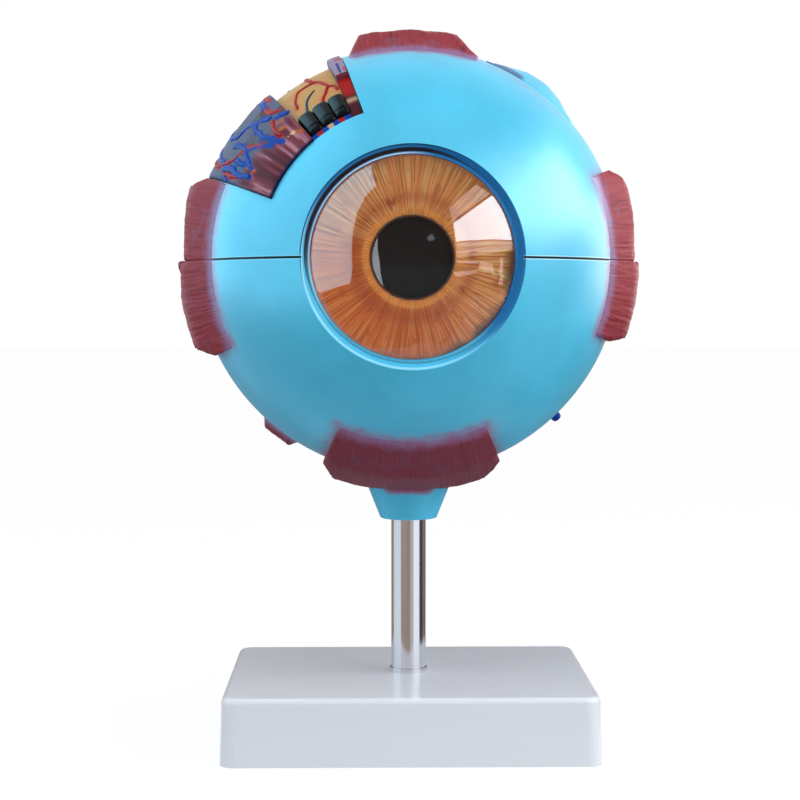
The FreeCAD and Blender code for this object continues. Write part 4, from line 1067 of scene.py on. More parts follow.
def oblique_rise(theta, thick):
    """By how much the blue lump of the superior oblique is raised or lowered to its rounded crest."""
    bins = np.arange(38.0, 73.0)
    crest = np.array([thick[np.abs(theta - t) < 1.2].max(initial=0.3) for t in bins])
    wanted = np.interp(theta, *np.array(OBLIQUE_CREST).T)
    return np.clip(wanted / np.interp(theta, bins, crest), 0.4, 1.7)


def build_muscles():
    """Stubs of the muscles, with ridges of fibre from front to back."""
    tone = look().muscle
    for seed, (name, (middle, front, low, high, body)) in enumerate(MUSCLES.items()):
        points, faces = refine(*node_mesh(name), 0.85)
        held = np.linalg.norm(points, axis=1) < EYE_R + GLUE + 0.02
        points = soften(points, faces, held, 45)
        theta, _, radius = angles(points)
        turn = (theta - middle + 180) % 360 - 180
        across = np.radians(turn) * EYE_R
        thick = np.maximum(radius - EYE_R, 0)
        grain = np.stack([across + 40 * seed, points[:, 1], thick], axis=1)
        drift = 1.6 * (lattice(points[:, 1] / 60, across / 90 + 0.5, 5, 7, seed) - 0.5)
        u, v = (across + drift) / 100 + 0.5, points[:, 1] / 200 + 0.5
        coarse, fine = lattice(u, v, 38, 9, 20 + seed) - 0.5, lattice(u, v, 110, 12, 40 + seed) - 0.5
        amount = ease(thick, 0.3, 2.2) * tone.relief / MM
        blue = name == "superior_oblique"
        if blue:
            thick = thick * oblique_rise(theta, thick)
            amount = amount * 0.12
        raised = EYE_R + thick + amount * (0.7 * coarse + 1.1 * fine)
        raised = np.where(thick > 0.3, np.maximum(raised, EYE_R + 0.2), radius)
        raised = raised - 0.36 * (1 - ease(thick, 0.14, 0.7))
        points = points * (raised / radius)[:, None]
        # Painted shadow: a dark wedge on the front of the superior oblique's lump, kept as a negative spray value.
        shadow_wedge = -blue * (1 - ease(thick, 0.9, 1.7)) * ease(theta, 56.5, 59.5)
        rise = HAZE_PEAK + (1 - HAZE_PEAK) * thick / (tone.fade / MM)
        build(name + "_stub", points, faces, "sclera_paint" if blue else "muscle_paint", body,
              "muscle_red", [name], grain=grain, rise=rise, haze=shadow_wedge)


# ------------------------------------------------------------ cornea, iris, lens, vitreous body

def cap(pole_y, curve, rho_from, rho_to, forward, steps=40):
    """Points on a spherical cap about the optical axis, from one distance to another."""
    centre = pole_y + (curve if forward else -curve)
    reach = [math.asin(rho / curve) for rho in (rho_from, rho_to)]
    sign = -1 if forward else 1
    return [(curve * math.sin(a), centre + sign * curve * math.cos(a)) for a in np.linspace(*reach, steps)]


def build_cornea():
    """Clear dome with its ground edge, a thin ring painted with highlights and shade."""
    centre = CORNEA_EDGE_Y + math.sqrt(CORNEA_CURVE ** 2 - CORNEA_R ** 2)
    inner_curve, inner_r = CORNEA_CURVE - CORNEA_WALL, CORNEA_R - 0.9
    inner = cap(centre - inner_curve, inner_curve, inner_r, 0, True)
    outline = (cap(centre - CORNEA_CURVE, CORNEA_CURVE, 0, CORNEA_R, True)
               + [(CORNEA_R, CORNEA_BACK_Y), (inner_r, CORNEA_BACK_Y)] + inner)
    points, faces = lathe(outline, 192)
    build("cornea_dome", points, outwards(points, faces), "cornea_clear", "cornea", "clear_cornea", ["cornea"])

    # The ground edge of the dome, painted with light: a white painted highlight on the upper left, paler painted light
    # below, and on the right the deep blue of the wall as painted shade, with a dark line inside the highlight.
    tone, steps = look().sclera, 288
    skin = cap(centre - CORNEA_CURVE - 0.04, CORNEA_CURVE, CORNEA_R - 0.95, CORNEA_R + 0.16, True, 16)
    outline = skin + [(rho, y + 0.07) for rho, y in skin[::-1]]
    points, faces = lathe(outline, steps)
    theta, _, _ = angles(points)
    rho = np.hypot(points[:, 0], points[:, 2])
    up_left = ease(np.cos(np.radians(theta - 148)), 0.3, 0.7)
    below = ease(np.cos(np.radians(theta - 248)), 0.2, 0.6)
    line = band(CORNEA_R - rho, 0.34, 0.17)
    inner = ease(CORNEA_R - rho, 0.62, 0.74)
    pale_highlight, white = (0.5, 0.84, 0.93), (0.93, 0.96, 1.0)
    colours = tint(tone.shaded_blue, (tone.blue, np.maximum(up_left * 0.3, below)), (pale_highlight, below * 0.5),
                   (white, line * up_left), (tone.navy, inner * (1 - 0.45 * below)))
    build("cornea_edge_highlight", points, outwards(points, faces), "edge_paint", "cornea", "clear_cornea", tone=colours)


def lens_edges():
    """Places along the axis of the lens's front edge, back edge and back pole."""
    front_curve, back_curve = LENS_CURVES
    front_edge = LENS_FRONT_Y + front_curve - math.sqrt(front_curve ** 2 - LENS_R ** 2)
    back_edge = front_edge + LENS_EDGE
    return front_edge, back_edge, back_edge + back_curve - math.sqrt(back_curve ** 2 - LENS_R ** 2)


def build_lens():
    """Lens with a flatter front and a rounder back."""
    _, _, back_pole = lens_edges()
    outline = (cap(LENS_FRONT_Y, LENS_CURVES[0], 0, LENS_R, True, 24)
               + cap(back_pole, LENS_CURVES[1], LENS_R, 0, False, 30))
    points, faces = lathe(outline, 160)
    build("lens_body", points, outwards(points, faces), "lens_clear", "lens", "clear_lens", ["lens"])


def build_vitreous():
    """Clear ball with a hollow for the lens."""
    _, back_edge, back_pole = lens_edges()
    curve = LENS_CURVES[1] + HOLLOW_GAP
    mouth_y = back_edge + HOLLOW_GAP
    centre = back_pole - LENS_CURVES[1]
    mouth_r = math.sqrt(curve ** 2 - (mouth_y - centre) ** 2)
    ball = [(VITREOUS_R * math.sin(a), -VITREOUS_R * math.cos(a))
            for a in np.radians(np.linspace(VITREOUS_PHI, 180, 80))]
    ball[-1] = (0, VITREOUS_R)
    outline = cap(centre + curve, curve, 0, mouth_r, False, 24) + [(mouth_r + 2.0, mouth_y)] + ball
    points, faces = lathe(outline, 160)
    build("vitreous_ball", points, outwards(points, faces), "vitreous_clear", "vitreous", "clear_vitreous",
          ["vitreous_body"])


def build_iris():
    """Disc with radial fibres in relief, a collarette with beads, and the pupil."""
    tone = look().front
    steps, rings = 1920, 44
    turn = np.arange(steps) / steps
    rho = PUPIL_R + (IRIS_R - 0.01 - PUPIL_R) * np.linspace(0, 1, rings)
    u, r = (grid.ravel() for grid in np.meshgrid(turn, rho))
    angle = 2 * np.pi * u
    part = (r - PUPIL_R) / (IRIS_R - PUPIL_R)
    sway = 0.003 * (lattice(u, part * 0.7, 40, 5, 3) - 0.5)
    fibre = lattice(u + sway, part * 0.35, tone.fibres, 3, 5)
    thin = lattice(u + sway, part * 0.5, tone.fibres * 2, 5, 6)
    broad = lattice(u, part * 0.5, 46, 4, 7)
    wide = lattice(u, part * 0.5, 13, 3, 8)
    spots = lattice(u, part, 150, 12, 9) * lattice(u, part, 61, 7, 10)
    inner_zone = 1 - ease(r, COLLARETTE_R - 0.5, COLLARETTE_R + 0.4)
    fade_edge = ease(IRIS_R - r, 0.4, 2.4)
    strand = ease(fibre, 0.25, 0.8) * 0.6 + ease(thin, 0.3, 0.75) * 0.4
    relief = tone.relief / MM * (strand - 0.5) * fade_edge * ease(r, PUPIL_R, PUPIL_R + 0.8)
    front = IRIS_FRONT_Y - 0.3 * band(r, COLLARETTE_R, 1.3) - relief - 0.12 * inner_zone
    front = np.where(r > IRIS_R - 1.8, IRIS_FRONT_Y, front)
    top = np.stack([r * np.cos(angle), front, r * np.sin(angle)], axis=1)
    bu, br = (grid.ravel() for grid in np.meshgrid(turn, [IRIS_R, PUPIL_R]))
    back = np.stack([br * np.cos(2 * np.pi * bu), np.full(2 * steps, IRIS_BACK_Y), br * np.sin(2 * np.pi * bu)], axis=1)
    points = np.vstack([top, back])
    k = np.arange(steps)
    n = (k + 1) % steps
    starts = np.arange(rings + 2) * steps
    faces = np.vstack([np.c_[a + k, b + k, b + n, a + n] for a, b in zip(starts, starts[1:])]
                      + [np.c_[starts[-1] + k, k, n, starts[-1] + n]])
    faces = outwards(points, [list(f) for f in faces])

    # Painted shade: the lower left is painted a deeper orange, with less gold.
    low = ease(-np.sin(angle) - 0.75 * np.cos(angle), -0.3, 0.8)
    gold = ease(strand, 0.35, 0.9) * (0.55 + 0.3 * ease(broad, 0.3, 0.7)) * fade_edge
    gold *= (0.75 + 0.25 * wide) * (1 - 0.6 * low)
    # Painted shade: the rust of the outer edge is stronger towards the lower right.
    right = ease(np.cos(angle + 0.5), -0.3, 0.8)
    outer = ease(r, IRIS_R - 5.5 * broad, IRIS_R - 0.4) * (0.25 + 0.75 * ease(fibre, 0.2, 0.7)) * (0.35 + 0.65 * right)
    hot = band(r, COLLARETTE_R + 2.6, 2.0) * 0.5 + ease(spots, 0.42, 0.7) * 0.5
    ring = 1 - ease(r, COLLARETTE_R - 1.7 + 1.3 * wide, COLLARETTE_R + 0.2)
    ring *= ease(r, PUPIL_R + 0.5, PUPIL_R + 1.1) * (0.5 + 0.5 * ease(np.cos(angle - 4.1), -0.4, 0.9))
    # Painted shadow along the outer edge on the lower right.
    shaded = ease(r, IRIS_R - 2 - 3.5 * broad, IRIS_R - 0.2) * ease(np.cos(angle + 0.6), 0.3, 0.9)
    colours = tint(tone.brown, (tone.low, low * 0.85), (tone.gold, gold),
                   (tone.rust, ease(1 - strand, 0.5, 0.95) * 0.4), ((0.74, 0.30, 0.11), hot), (tone.rust, outer),
                   (tone.ring, ring * (0.6 + 0.4 * strand)), (tone.pupil_edge, shaded * 0.85),
                   (tone.pupil_edge, 1 - ease(r, PUPIL_R + 0.35, PUPIL_R + 0.8)))
    colours = np.vstack([colours, np.tile(linear(tone.rust, 0.5), (2 * steps, 1))])
    build("iris_disc", points, faces, "iris_paint", "iris", "iris_amber", ["iris"], 40.0, tone=colours)

    points, faces = lathe([(math.sin(a), math.cos(a)) for a in np.linspace(0, math.pi, 6)], 8, "upright")
    points = points * BEAD_SIZE + np.array([BEAD_R, IRIS_FRONT_Y - 0.2, 0.0])
    bead = bpy.data.meshes.new("bead")
    bead.from_pydata((points * MM).tolist(), [], outwards(points, faces))
    ring_of_copies("collarette_beads", bead, tone.beads, 0.01, 2 * math.pi / tone.beads, "bead_paint", "iris")


# ------------------------------------------------------------ inside the eyeball

def build_ciliary():
    """Half rings behind the iris, each with its folds."""
    folds = look().inside.folds
    front_y = IRIS_BACK_Y + 0.15
    ring_r, waist_r, steps, back = 27.2, 34.0, 90, math.radians(CILIARY_PHI)
    arc = [(CHOROID_OUT_R * math.sin(a), -CHOROID_OUT_R * math.cos(a))
           for a in np.linspace(math.acos(-front_y / CHOROID_OUT_R), back, 12)]
    inner_end = (RETINA_IN_R * math.sin(back), -RETINA_IN_R * math.cos(back))
    outline = arc + [inner_end, (waist_r, front_y + 8.4), (ring_r + 0.5, front_y + 4.9), (ring_r, front_y + 4.2),
                     (ring_r, front_y)]
    fin_top = [(ring_r - 0.2, front_y + 2.6), (ring_r - 0.42, front_y + 4.2), (ring_r + 0.1, front_y + 5.5),
               (waist_r - 0.6, front_y + 8.9), (39.0, front_y + 11.6), (44.6, front_y + 13.9)]
    fin_low = [(ring_r + 1.5, front_y + 2.6), (ring_r + 2.0, front_y + 3.4), (ring_r + 2.4, front_y + 4.4),
               (waist_r + 1.0, front_y + 7.2), (40.5, front_y + 10.0), (45.6, front_y + 13.0)]
    for node, body, start in (("upper_ciliary_body", "upper_half", 0.0), ("lower_ciliary_body", "lower_half", 180.0)):
        turns = np.radians(start + np.linspace(0, 180, steps + 1))
        points = np.array([(rho * math.cos(t), y, rho * math.sin(t)) for t in turns for rho, y in outline])
        size = len(outline)
        faces = [[t * size + k, t * size + (k + 1) % size, (t + 1) * size + (k + 1) % size, (t + 1) * size + k]
                 for t in range(steps) for k in range(size)]
        faces += [list(range(size)), [steps * size + k for k in range(size)][::-1]]
        faces = outwards(points, faces)
        build(node.replace("_body", "_ring"), points, faces, "ciliary_paint", body, "ciliary_brown", [node])
        fin = bmesh.new()
        half = (0.16, 0.5, 0.5, 0.5, 0.42, 0.12)
        rows = []
        for z in (-1, 0, 1):
            for edge in (fin_top, fin_low):
                lift = 0.45 if z and edge is fin_top else 0.0
                rows.append([fin.verts.new(Vector((rho + 0.5 * lift, y - lift, z * wide)) * MM)
                             for (rho, y), wide in zip(edge, half)])
        order = [rows[0], rows[2], rows[4], rows[5], rows[3], rows[1]]
        for a, b in zip(order, order[1:] + order[:1]):
            for k in range(len(a) - 1):
                fin.faces.new((a[k], a[k + 1], b[k + 1], b[k]))
        for end in (0, -1):
            fin.faces.new([row[end] for row in order])
        bmesh.ops.recalc_face_normals(fin, faces=fin.faces)
        fold = bpy.data.meshes.new("fold")
        fin.to_mesh(fold)
        fin.free()
        pitch = 2 * math.pi / folds
        ring_of_copies(body.replace("half", "ciliary_folds"), fold, folds // 2, math.radians(start) + pitch / 2, pitch,
                       "ciliary_paint", body)


def build_coats():
    """Choroid and retina of both halves; the retina carries its vessels."""
    for half in ("upper", "lower"):
        for coat, paint_name, slot in (("choroid", "choroid_paint", "choroid_brown"),
                                       ("retina", "retina_paint", "retina_orange")):
            node = f"{half}_{coat}"
            points, faces = refine(*node_mesh(node), 2.4)
            build(node + "_coat", points, faces, paint_name, half + "_half", slot, [node])
    for half, side in (("upper", 1), ("lower", -1)):
        red, blue = [], []
        for reach, bend, (w0, w1), kind in (
                (62, 30, (0.42, 0.16), red), (50, 62, (0.36, 0.14), red), (66, 100, (0.4, 0.15), red),
                (56, 140, (0.36, 0.14), red), (64, 40, (0.46, 0.18), blue), (60, 86, (0.42, 0.16), blue),
                (58, 125, (0.4, 0.15), blue)):
            kind.append(((w0, w1), retina_track(reach, bend * side, 14)))
            kind.append(((w0 * 0.6, w1 * 0.8), retina_track(reach * 0.8, bend * side + 13 * side, -10, 24)))
        vessels(f"{half}_retina_arteries", red, RETINA_IN_R + 0.14, 0.8, "artery_paint", half + "_half",
                wander=1.6, seed=11 + side)
        vessels(f"{half}_retina_veins", blue, RETINA_IN_R + 0.18, 0.8, "vein_paint", half + "_half",
                wander=1.8, seed=15 + side)


def retina_track(reach, heading, curl, start=7.0):
    """Places of a vessel that leaves the optic disc and curves round the back of the eye, as theta and phi.

    reach and start are degrees from the disc; heading is measured from +X towards +Z."""
    disc = np.array([-math.sin(math.radians(NERVE_TURN)), math.cos(math.radians(NERVE_TURN)), 0.0])
    right = np.array([math.cos(math.radians(NERVE_TURN)), math.sin(math.radians(NERVE_TURN)), 0.0])
    up = np.array([0.0, 0.0, 1.0])
    track = []
    for s in np.linspace(0, 1, 8):
        away = math.radians(start + (reach - start) * s)
        way = math.radians(heading + curl * s * s)
        p = disc * math.cos(away) + (right * math.cos(way) + up * math.sin(way)) * math.sin(away)
        theta, phi, _ = angles(p[None, :])
        track.append((float(theta[0]), float(phi[0])))
    return track


def build_nerve():
    """Optic nerve with its sheath, and the vessels that keep their CAD shapes."""
    dress("nerve_paint", "optic_nerve")
    dress("artery_paint", "central_artery")
    dress("vein_paint", "central_vein", "vortex_veins_lower", "vortex_veins_upper")
    points, faces = refine(*node_mesh("optic_nerve_sheath"), 1.6)
    build("nerve_sheath", points, faces, "sclera_paint", "lower_half", "blue_sclera", ["optic_nerve_sheath"],
          haze=np.zeros(len(points)))


# ------------------------------------------------------------ the window

def path_distance(theta, phi, paths, radius):
    """Distance in millimetres from places on the eye to the nearest of some vessels."""
    here = on_eye(radius, theta, phi)
    nearest = np.full(len(here), 1e9)
    for _, places in paths:
        track = soft_line(on_eye(radius, *np.array(places, float).T), 0.5)
        for spot in track:
            nearest = np.minimum(nearest, ((here - spot) ** 2).sum(axis=1))
    return np.sqrt(nearest)


def build_choroid_window():
    """Vessel coat in the window: streaked ciliary muscle in front, vessels behind."""
    tone = look().window
    points, faces = refine(*node_mesh("choroid_panel"), 0.6)
    theta, phi, radius = angles(points)
    u = (theta - 144) * DEGREE * 50 / 60 + 0.5
    streak, thin = lattice(u, phi / 120, 52, 11, 61), lattice(u, phi / 120, 120, 17, 62)
    patch, patch_b = lattice(u, phi / 90, 13, 15, 63), lattice(u, phi / 90, 17, 21, 64)
    front = 1 - ease(phi + 5 * (patch - 0.5), 50.5, 56.5)
    top = radius > EYE_R + 0.6
    relief = np.where(top, front * (0.8 * (streak - 0.5) + 0.25 * (thin - 0.5)) + (1 - front) * 0.5 * (patch - 0.4), 0)
    edge = ease(phi, 41.2, 42.6) * ease(157.2 - theta, 0.0, 1.0) * ease(theta - 130.2, 0, 1.0)
    points = points * ((radius + relief * (0.35 + 0.65 * edge)) / radius)[:, None]
    outline = np.maximum(1 - ease(phi, 41.3, 42.0), ease(theta, 156.5, 157.1)) * (radius > EYE_R - 0.5)
    stain = lattice(u, phi / 90, 47, 53, 65) + 0.4 * lattice(u, phi / 90, 130, 150, 66)

    def brushed(paths, ragged, core, rim):
        """Paint along paths: full within core millimetres, none beyond rim, its edge ragged by so much."""
        return 1 - ease(path_distance(theta, phi, paths, EYE_R) + ragged * (stain - 0.7), core, rim)

    dabs = {kind: np.max([brushed([(0, [spot, spot])], 2.4, 0.3 * size, size) for size, spot in spots], axis=0)
            * (0.45 + 0.55 * ease(streak, 0.25, 0.6)) for kind, spots in WINDOW_DABS.items()}
    # The glint colour is a painted highlight.
    glint, line_blue = (0.95, 0.85, 0.6), (0.09, 0.10, 0.24)
    colours = tint(tone.coat, (tone.maroon, ease(patch, 0.66, 0.85) * 0.6 + ease(patch_b, 0.7, 0.85) * 0.3),
                   (tone.ciliary, front), (tone.maroon, front * ease(streak, 0.5, 0.75) * 0.9),
                   (tone.streak, front * ease(1 - streak, 0.5, 0.75) * 0.85 * ease(thin, 0.3, 0.6)),
                   (tone.ochre, dabs["ochre"]), (tone.green, dabs["green"]),
                   (tone.vein, brushed(CHOROID_VEINS, 1.5, 0.9, 1.3)),
                   (tone.artery, brushed(CHOROID_ARTERIES, 1.2, 0.6, 0.95)),
                   (glint, dabs["glint"]), (line_blue, outline * 0.9))
    # Painted shade: the parts below the sclera's surface are painted at half brightness.
    colours[radius < EYE_R - 0.3, :3] *= 0.5
    build("choroid_coat_window", points, faces, "window_paint", "upper_half", "choroid_vessels", ["choroid_panel"],
          tone=colours)
    crown = EYE_R + 1.02
    vessels("window_veins", CHOROID_VEINS, crown, 0.42, "vein_paint", "upper_half", wander=0.6, seed=31,
            thickness=1.15)
    vessels("window_arteries", CHOROID_ARTERIES, crown + 0.08, 0.5, "artery_paint", "upper_half",
            wander=0.5, seed=32, thickness=1.1)


def build_retina_window():
    """Bare retina with thin vessels, the black pigment lobes and the cut choroid round them."""
    tone = look().window
    points, faces = refine(*node_mesh("retina_panel"), 0.6)
    theta, phi, _ = angles(points)
    floor, blush, straw = EYE_R - 2.0, (0.78, 0.40, 0.22), (0.80, 0.64, 0.42)
    near = path_distance(theta, phi, RETINA_ARTERIES, floor)
    cloud = lattice(theta / 60, phi / 90, 17, 13, 71)
    colours = tint(tone.buff, (blush, band(near, 0, 1.2) * 0.8), (straw, ease(cloud, 0.6, 0.85) * 0.4))
    build("bare_retina", points, faces, "retina_window_paint", "upper_half", "retina_buff", ["retina_panel"],
          tone=colours)
    vessels("bare_retina_arteries", RETINA_ARTERIES, floor, 0.8, "artery_paint", "upper_half",
            wander=0.3, seed=41, thickness=1.4)
    vessels("bare_retina_veins", RETINA_VEINS, floor, 0.8, "dark_vein_paint", "upper_half",
            wander=0.3, seed=42, thickness=1.4)

    # Three lumps that run into one another.
    points, faces = refine(*node_mesh("pigment_lobes"), 0.7)
    theta, phi, radius = angles(points)
    low, high = theta.min(), theta.max()
    place = (theta - low) / (high - low) * 3
    inward = place % 1.0 - 0.5
    ends = (place < 0.2) | (place > 2.8)
    theta = theta + np.where((np.abs(inward) > 0.44) & ~ends, np.sign(inward) * 0.1, 0)
    points = soften(on_eye(radius, theta, phi), faces, radius < EYE_R - 1.2, 22)
    theta, phi, radius = angles(points)
    inward = (theta - low) / (high - low) * 3 % 1.0 - 0.5
    domed = EYE_R - 1.0 + 1.9 * np.sqrt(np.clip(np.cos(np.pi * inward * 0.86), 0, 1)) * ease(phi - phi.min(), 0.3, 2.2)
    from_back = ease(phi.max() - phi, 0.0, 1.5)
    domed = domed * from_back + radius * (1 - from_back)
    inner = ease(theta - low, 0.2, 1.4) * ease(high - theta, 0.2, 1.4) * ease(radius, EYE_R - 1.1, EYE_R - 0.4)
    points = points * (1 + inner * np.maximum(domed - radius, 0) / radius)[:, None]
    build("pigment_lumps", points, faces, "pigment_paint", "upper_half", "pigment_black", ["pigment_lobes"], 50.0)

    points, faces = refine(*node_mesh("choroid_margin"), 0.4)
    theta, phi, radius = angles(points)
    points = soften(points, faces, (phi < 60.0) | (radius < EYE_R - 0.6), 30)
    squares = [tone.vein, tone.artery, tone.vein, (0.72, 0.6, 0.5), tone.vein, tone.artery, tone.vein, tone.maroon,
               tone.maroon]
    first, all_squares = STEP_THETA - 0.2, 21.0
    index = np.clip(((first - theta) / all_squares * len(squares)).astype(int), 0, len(squares) - 1)
    tiled = (theta > STRIP_THETA) & (phi < TILES_PHI)
    colours = np.tile(linear(tone.maroon), (len(points), 1))
    for k, square in enumerate(squares):
        colours[tiled & (index == k)] = linear(square)
    strip = theta <= STRIP_THETA
    red = ease(phi, 49.5, 51.5) * (1 - ease(phi, 59.5, 60.5))
    raised = ease(phi, 59.8, 60.6)
    stripes = lattice(theta / 12, phi / 120, 9, 23, 91)
    # Painted highlight: a tan band across the cut side of the choroid.
    tan_highlight, lilac, dark_blue = (0.76, 0.62, 0.48), (0.56, 0.50, 0.60), (0.16, 0.2, 0.46)
    side = tint(tone.maroon, (tone.artery, red), (tan_highlight, band(phi, 48.3, 0.9) * 0.8), (lilac, raised),
                (tone.artery, raised * ease(stripes, 0.66, 0.8) * 0.8),
                (dark_blue, raised * ease(1 - stripes, 0.66, 0.8)))
    colours[strip] = side[strip]
    build("choroid_cut_edge", points, faces, "window_paint", "upper_half", "choroid_edge", ["choroid_margin"],
          tone=colours)


# ------------------------------------------------------------ studio

def place_lamp(name, power, size, position, colour):
    """A soft rectangular lamp, unseen itself, that looks at the eye."""
    lamp = bpy.data.lights.new(name, "AREA")
    lamp.shape, lamp.size, lamp.size_y = "RECTANGLE", size[0], size[1]
    lamp.energy, lamp.color = power, colour
    piece = bpy.data.objects.new(name, lamp)
    show(piece)
    piece.location = position
    piece.rotation_euler = (UP_TO_EYE - piece.location).to_track_quat("-Z", "Y").to_euler()
    hide_from(piece, "glossy", "camera", "transmission")


def hide_from(piece, *rays):
    """Leaves a piece out for some kinds of rays."""
    for ray in rays:
        setattr(piece, "visible_" + ray, False)


def stage_face(name, corners, paint, *unseen_by):
    """A flat face of the surroundings, which isn't part of the model."""
    mesh = bpy.data.meshes.new(name)
    mesh.from_pydata(corners, [], [tuple(range(len(corners)))])
    mesh.materials.append(paint)
    piece = bpy.data.objects.new(name, mesh)
    show(piece)
    hide_from(piece, *unseen_by)


def place_card(name, corners, colour, strength):
    """A card that only shows in reflections; corners are metres from the eye's centre, in order round it."""
    card = bpy.data.materials.new(name)
    card.use_nodes = True
    tree = card.node_tree
    tree.nodes.clear()
    clear = add(tree, "ShaderNodeBsdfTransparent").outputs[0]
    through = add(tree, "ShaderNodeLightPath").outputs["Is Transmission Ray"]
    link(tree, blend(tree, through, glow(tree, colour, strength), clear),
         add(tree, "ShaderNodeOutputMaterial").inputs["Surface"])
    stage_face(name, [tuple(Vector(c) + UP_TO_EYE) for c in corners], card,
               "camera", "diffuse", "transmission", "shadow", "volume_scatter")


def bounces(tree, path):
    """How often a ray has met something, apart from its ways through clear plastic."""
    return maths(tree, "SUBTRACT", path["Ray Depth"], path["Transmission Depth"])


def seen_directly(tree, path):
    """1 for what the camera sees straight, mirrored or through clear plastic, and 0 for light on the object."""
    mirrored = times(tree, path["Is Glossy Ray"], maths(tree, "SUBTRACT", 1.0, path["Is Transmission Ray"]))
    through = times(tree, path["Is Transmission Ray"], maths(tree, "LESS_THAN", bounces(tree, path), 0.5))
    return maths(tree, "MAXIMUM", maths(tree, "MAXIMUM", path["Is Camera Ray"], mirrored), through)


def bounced_inside(tree, path):
    """1 for what is mirrored by a face inside the clear pieces."""
    return times(tree, path["Is Transmission Ray"], maths(tree, "GREATER_THAN", bounces(tree, path), 0.5))


def make_room(strength):
    """Even light on the object, and white behind it; darker in mirrorings inside the clear pieces."""
    world = bpy.data.worlds.new("room")
    bpy.context.scene.world = world
    world.use_nodes = True
    tree = world.node_tree
    tree.nodes.clear()
    path = add(tree, "ShaderNodeLightPath").outputs
    room = maths(tree, "MULTIPLY_ADD", bounced_inside(tree, path), 0.1 - strength, strength)
    even = add(tree, "ShaderNodeBackground", {"Color": (0.93, 0.97, 1.0, 1.0), "Strength": room}).outputs[0]
    white = add(tree, "ShaderNodeBackground", {"Color": (1.0, 1.0, 1.0, 1.0), "Strength": 1.0}).outputs[0]
    link(tree, blend(tree, seen_directly(tree, path), even, white),
         add(tree, "ShaderNodeOutputWorld").inputs["Surface"])


def lay_floor(reach):
    """Pale floor that almost melts into the background."""
    tree, _ = new_material("pale_floor", Base_Color=(0.45, 0.45, 0.45, 1.0), Roughness=0.7, Specular_IOR_Level=0.1)
    path = add(tree, "ShaderNodeLightPath").outputs
    white, dim = glow(tree, (1.0, 1.0, 1.0), 1.06), glow(tree, (1.0, 1.0, 1.0), 0.1)
    lit = blend(tree, times(tree, seen_directly(tree, path), 0.9), tree.nodes["Principled BSDF"].outputs[0], white)
    link(tree, blend(tree, bounced_inside(tree, path), lit, dim), tree.nodes["Material Output"].inputs["Surface"])
    corners = [(-reach, -reach, 0), (reach, -reach, 0), (reach, reach, 0), (-reach, reach, 0)]
    stage_face("floor", corners, material("pale_floor"))


def place_camera():
    lens = bpy.data.cameras.new("camera")
    lens.lens, lens.sensor_width = 83.26, 36.0
    lens.clip_start, lens.clip_end = 0.01, 50.0
    camera = bpy.data.objects.new("camera", lens)
    camera.location = (-0.0132, -0.63164, 0.14678)
    camera.rotation_euler = (math.radians(90 - 2.854), 0.0, math.radians(-0.933))
    show(camera)
    bpy.context.scene.camera = camera


def build_studio():
    tone = look().studio
    bpy.context.scene.view_settings.view_transform = "Standard"
    make_room(tone.room)
    lay_floor(6.0)
    place_lamp("window_lamp", tone.key, (1.5, 0.6), (1.0, -0.33, 0.5), (1.0, 0.98, 0.96))
    place_lamp("overhead_lamp", tone.top, (1.1, 0.9), (0.12, -0.55, 1.2), (0.97, 0.99, 1.0))
    place_lamp("left_lamp", tone.left, (1.0, 1.2), (-1.1, -0.4, 0.55), (0.98, 0.98, 1.0))
    gains = {"window_pane": tone.pane, "left_wall": tone.wall, "left_floor": tone.wall}
    for name, (axis, place), corners, colour, strength in ROOM_CARDS:
        where = [tuple(np.insert(corner, axis, place)) for corner in corners]
        place_card(name, where, colour, strength * gains.get(name, 1.0))
    low, top = BAND_LOW - UP_TO_EYE.z, BAND_TOP - UP_TO_EYE.z
    for name, start, end, colour in ROD_BANDS:
        a, b = ((BAND_AWAY * math.sin(turn), -BAND_AWAY * math.cos(turn)) for turn in np.radians((start, end)))
        place_card(name, [(*a, low), (*b, low), (*b, top), (*a, top)], colour, 1.0)
    place_camera()


# ------------------------------------------------------------ the add-on's operators and panel

class EYE_OT_studio(bpy.types.Operator):
    """Place the floor, the lights and the camera"""
    bl_idname = "eye_model.studio"
    bl_label = "Studio"

    def execute(self, context):
        build_studio()
        return {"FINISHED"}


class EYE_OT_materials(bpy.types.Operator):
    """Make the paints, metals, clear plastics and the geometry trees"""
    bl_idname = "eye_model.materials"
    bl_label = "Paints and trees"

    def execute(self, context):
        make_materials()
        make_trees()
        return {"FINISHED"}


class EYE_OT_stand(bpy.types.Operator):
    """Finish the base, rod, collar, bush, pins, screws and washers"""
    bl_idname = "eye_model.stand"
    bl_label = "Stand"

    def execute(self, context):
        build_stand()
        return {"FINISHED"}


class EYE_OT_sclera(bpy.types.Operator):
    """Paint the two halves of the eyeball's wall"""
    bl_idname = "eye_model.sclera"
    bl_label = "Sclera"

    def execute(self, context):
        build_sclera()
        return {"FINISHED"}


class EYE_OT_muscles(bpy.types.Operator):
    """Build the eight muscle stubs with their fibres"""
    bl_idname = "eye_model.muscles"
    bl_label = "Muscles"

    def execute(self, context):
        build_muscles()
        return {"FINISHED"}


class EYE_OT_front(bpy.types.Operator):
    """Build the cornea, the iris with its beads, the lens and the vitreous body"""
    bl_idname = "eye_model.front"
    bl_label = "Cornea, iris and lens"

    def execute(self, context):
        build_cornea()
        build_iris()
        build_lens()
        build_vitreous()
        return {"FINISHED"}


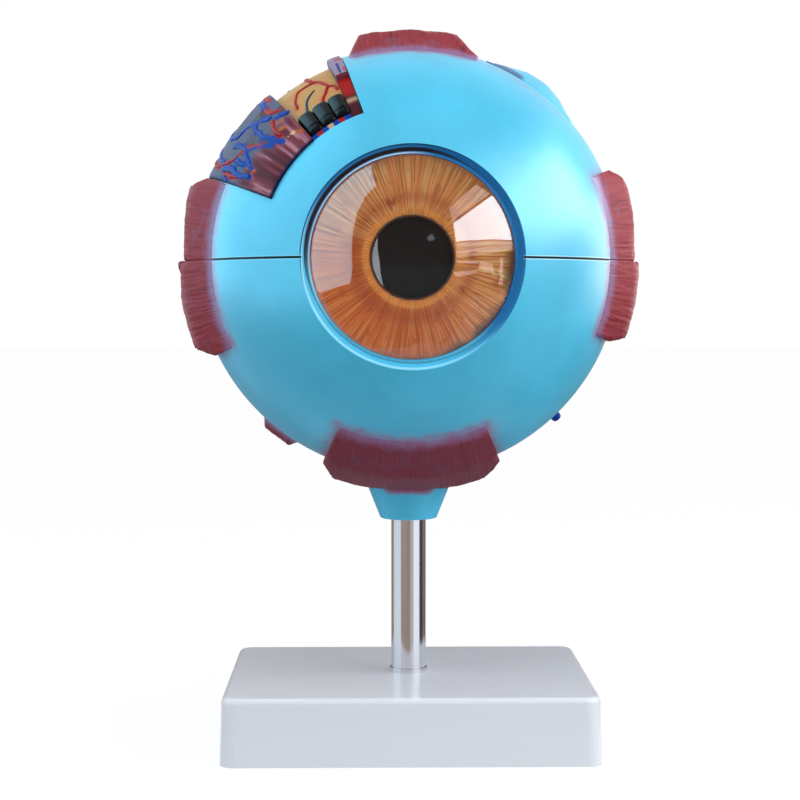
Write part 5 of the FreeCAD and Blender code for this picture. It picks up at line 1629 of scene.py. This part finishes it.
class EYE_OT_inside(bpy.types.Operator):
    """Build the inner coats, their vessels and the ciliary body"""
    bl_idname = "eye_model.inside"
    bl_label = "Inside"

    def execute(self, context):
        build_coats()
        build_ciliary()
        return {"FINISHED"}


class EYE_OT_nerve(bpy.types.Operator):
    """Finish the optic nerve with its sheath and vessels, and the vortex veins"""
    bl_idname = "eye_model.nerve"
    bl_label = "Nerve and vortex veins"

    def execute(self, context):
        build_nerve()
        return {"FINISHED"}


class EYE_OT_window(bpy.types.Operator):
    """Build the coats shown in the window"""
    bl_idname = "eye_model.window"
    bl_label = "Window"

    def execute(self, context):
        build_choroid_window()
        build_retina_window()
        return {"FINISHED"}


OPERATORS = (EYE_OT_materials, EYE_OT_studio, EYE_OT_stand, EYE_OT_sclera, EYE_OT_muscles, EYE_OT_front,
             EYE_OT_inside, EYE_OT_nerve, EYE_OT_window)


class EYE_PT_panel(bpy.types.Panel):
    """Sizes, paints and pieces of the eye model"""
    bl_label = "Eye model"
    bl_idname = "EYE_PT_panel"
    bl_space_type = "VIEW_3D"
    bl_region_type = "UI"
    bl_category = "Eye model"

    def draw(self, context):
        for operator in OPERATORS:
            self.layout.operator(operator.bl_idname)
        settings = context.scene.eye_model
        for group in ("sclera", "muscle", "window", "front", "inside", "stand", "studio"):
            box = self.layout.box()
            box.label(text=group.capitalize())
            values = getattr(settings, group)
            for key in type(values).__annotations__:
                box.prop(values, key)


GROUPS = (ScleraLook, MuscleLook, WindowLook, FrontLook, InsideLook, StandLook, StudioLook, EyeModelLook)


def register():
    for group in GROUPS + OPERATORS + (EYE_PT_panel,):
        bpy.utils.register_class(group)
    bpy.types.Scene.eye_model = PointerProperty(type=EyeModelLook)


def unregister():
    del bpy.types.Scene.eye_model
    for group in reversed(GROUPS + OPERATORS + (EYE_PT_panel,)):
        bpy.utils.unregister_class(group)


def main():
    register()
    for operator in OPERATORS:
        group, name = operator.bl_idname.split(".")
        getattr(getattr(bpy.ops, group), name)()


if __name__ == "__main__":
    main()
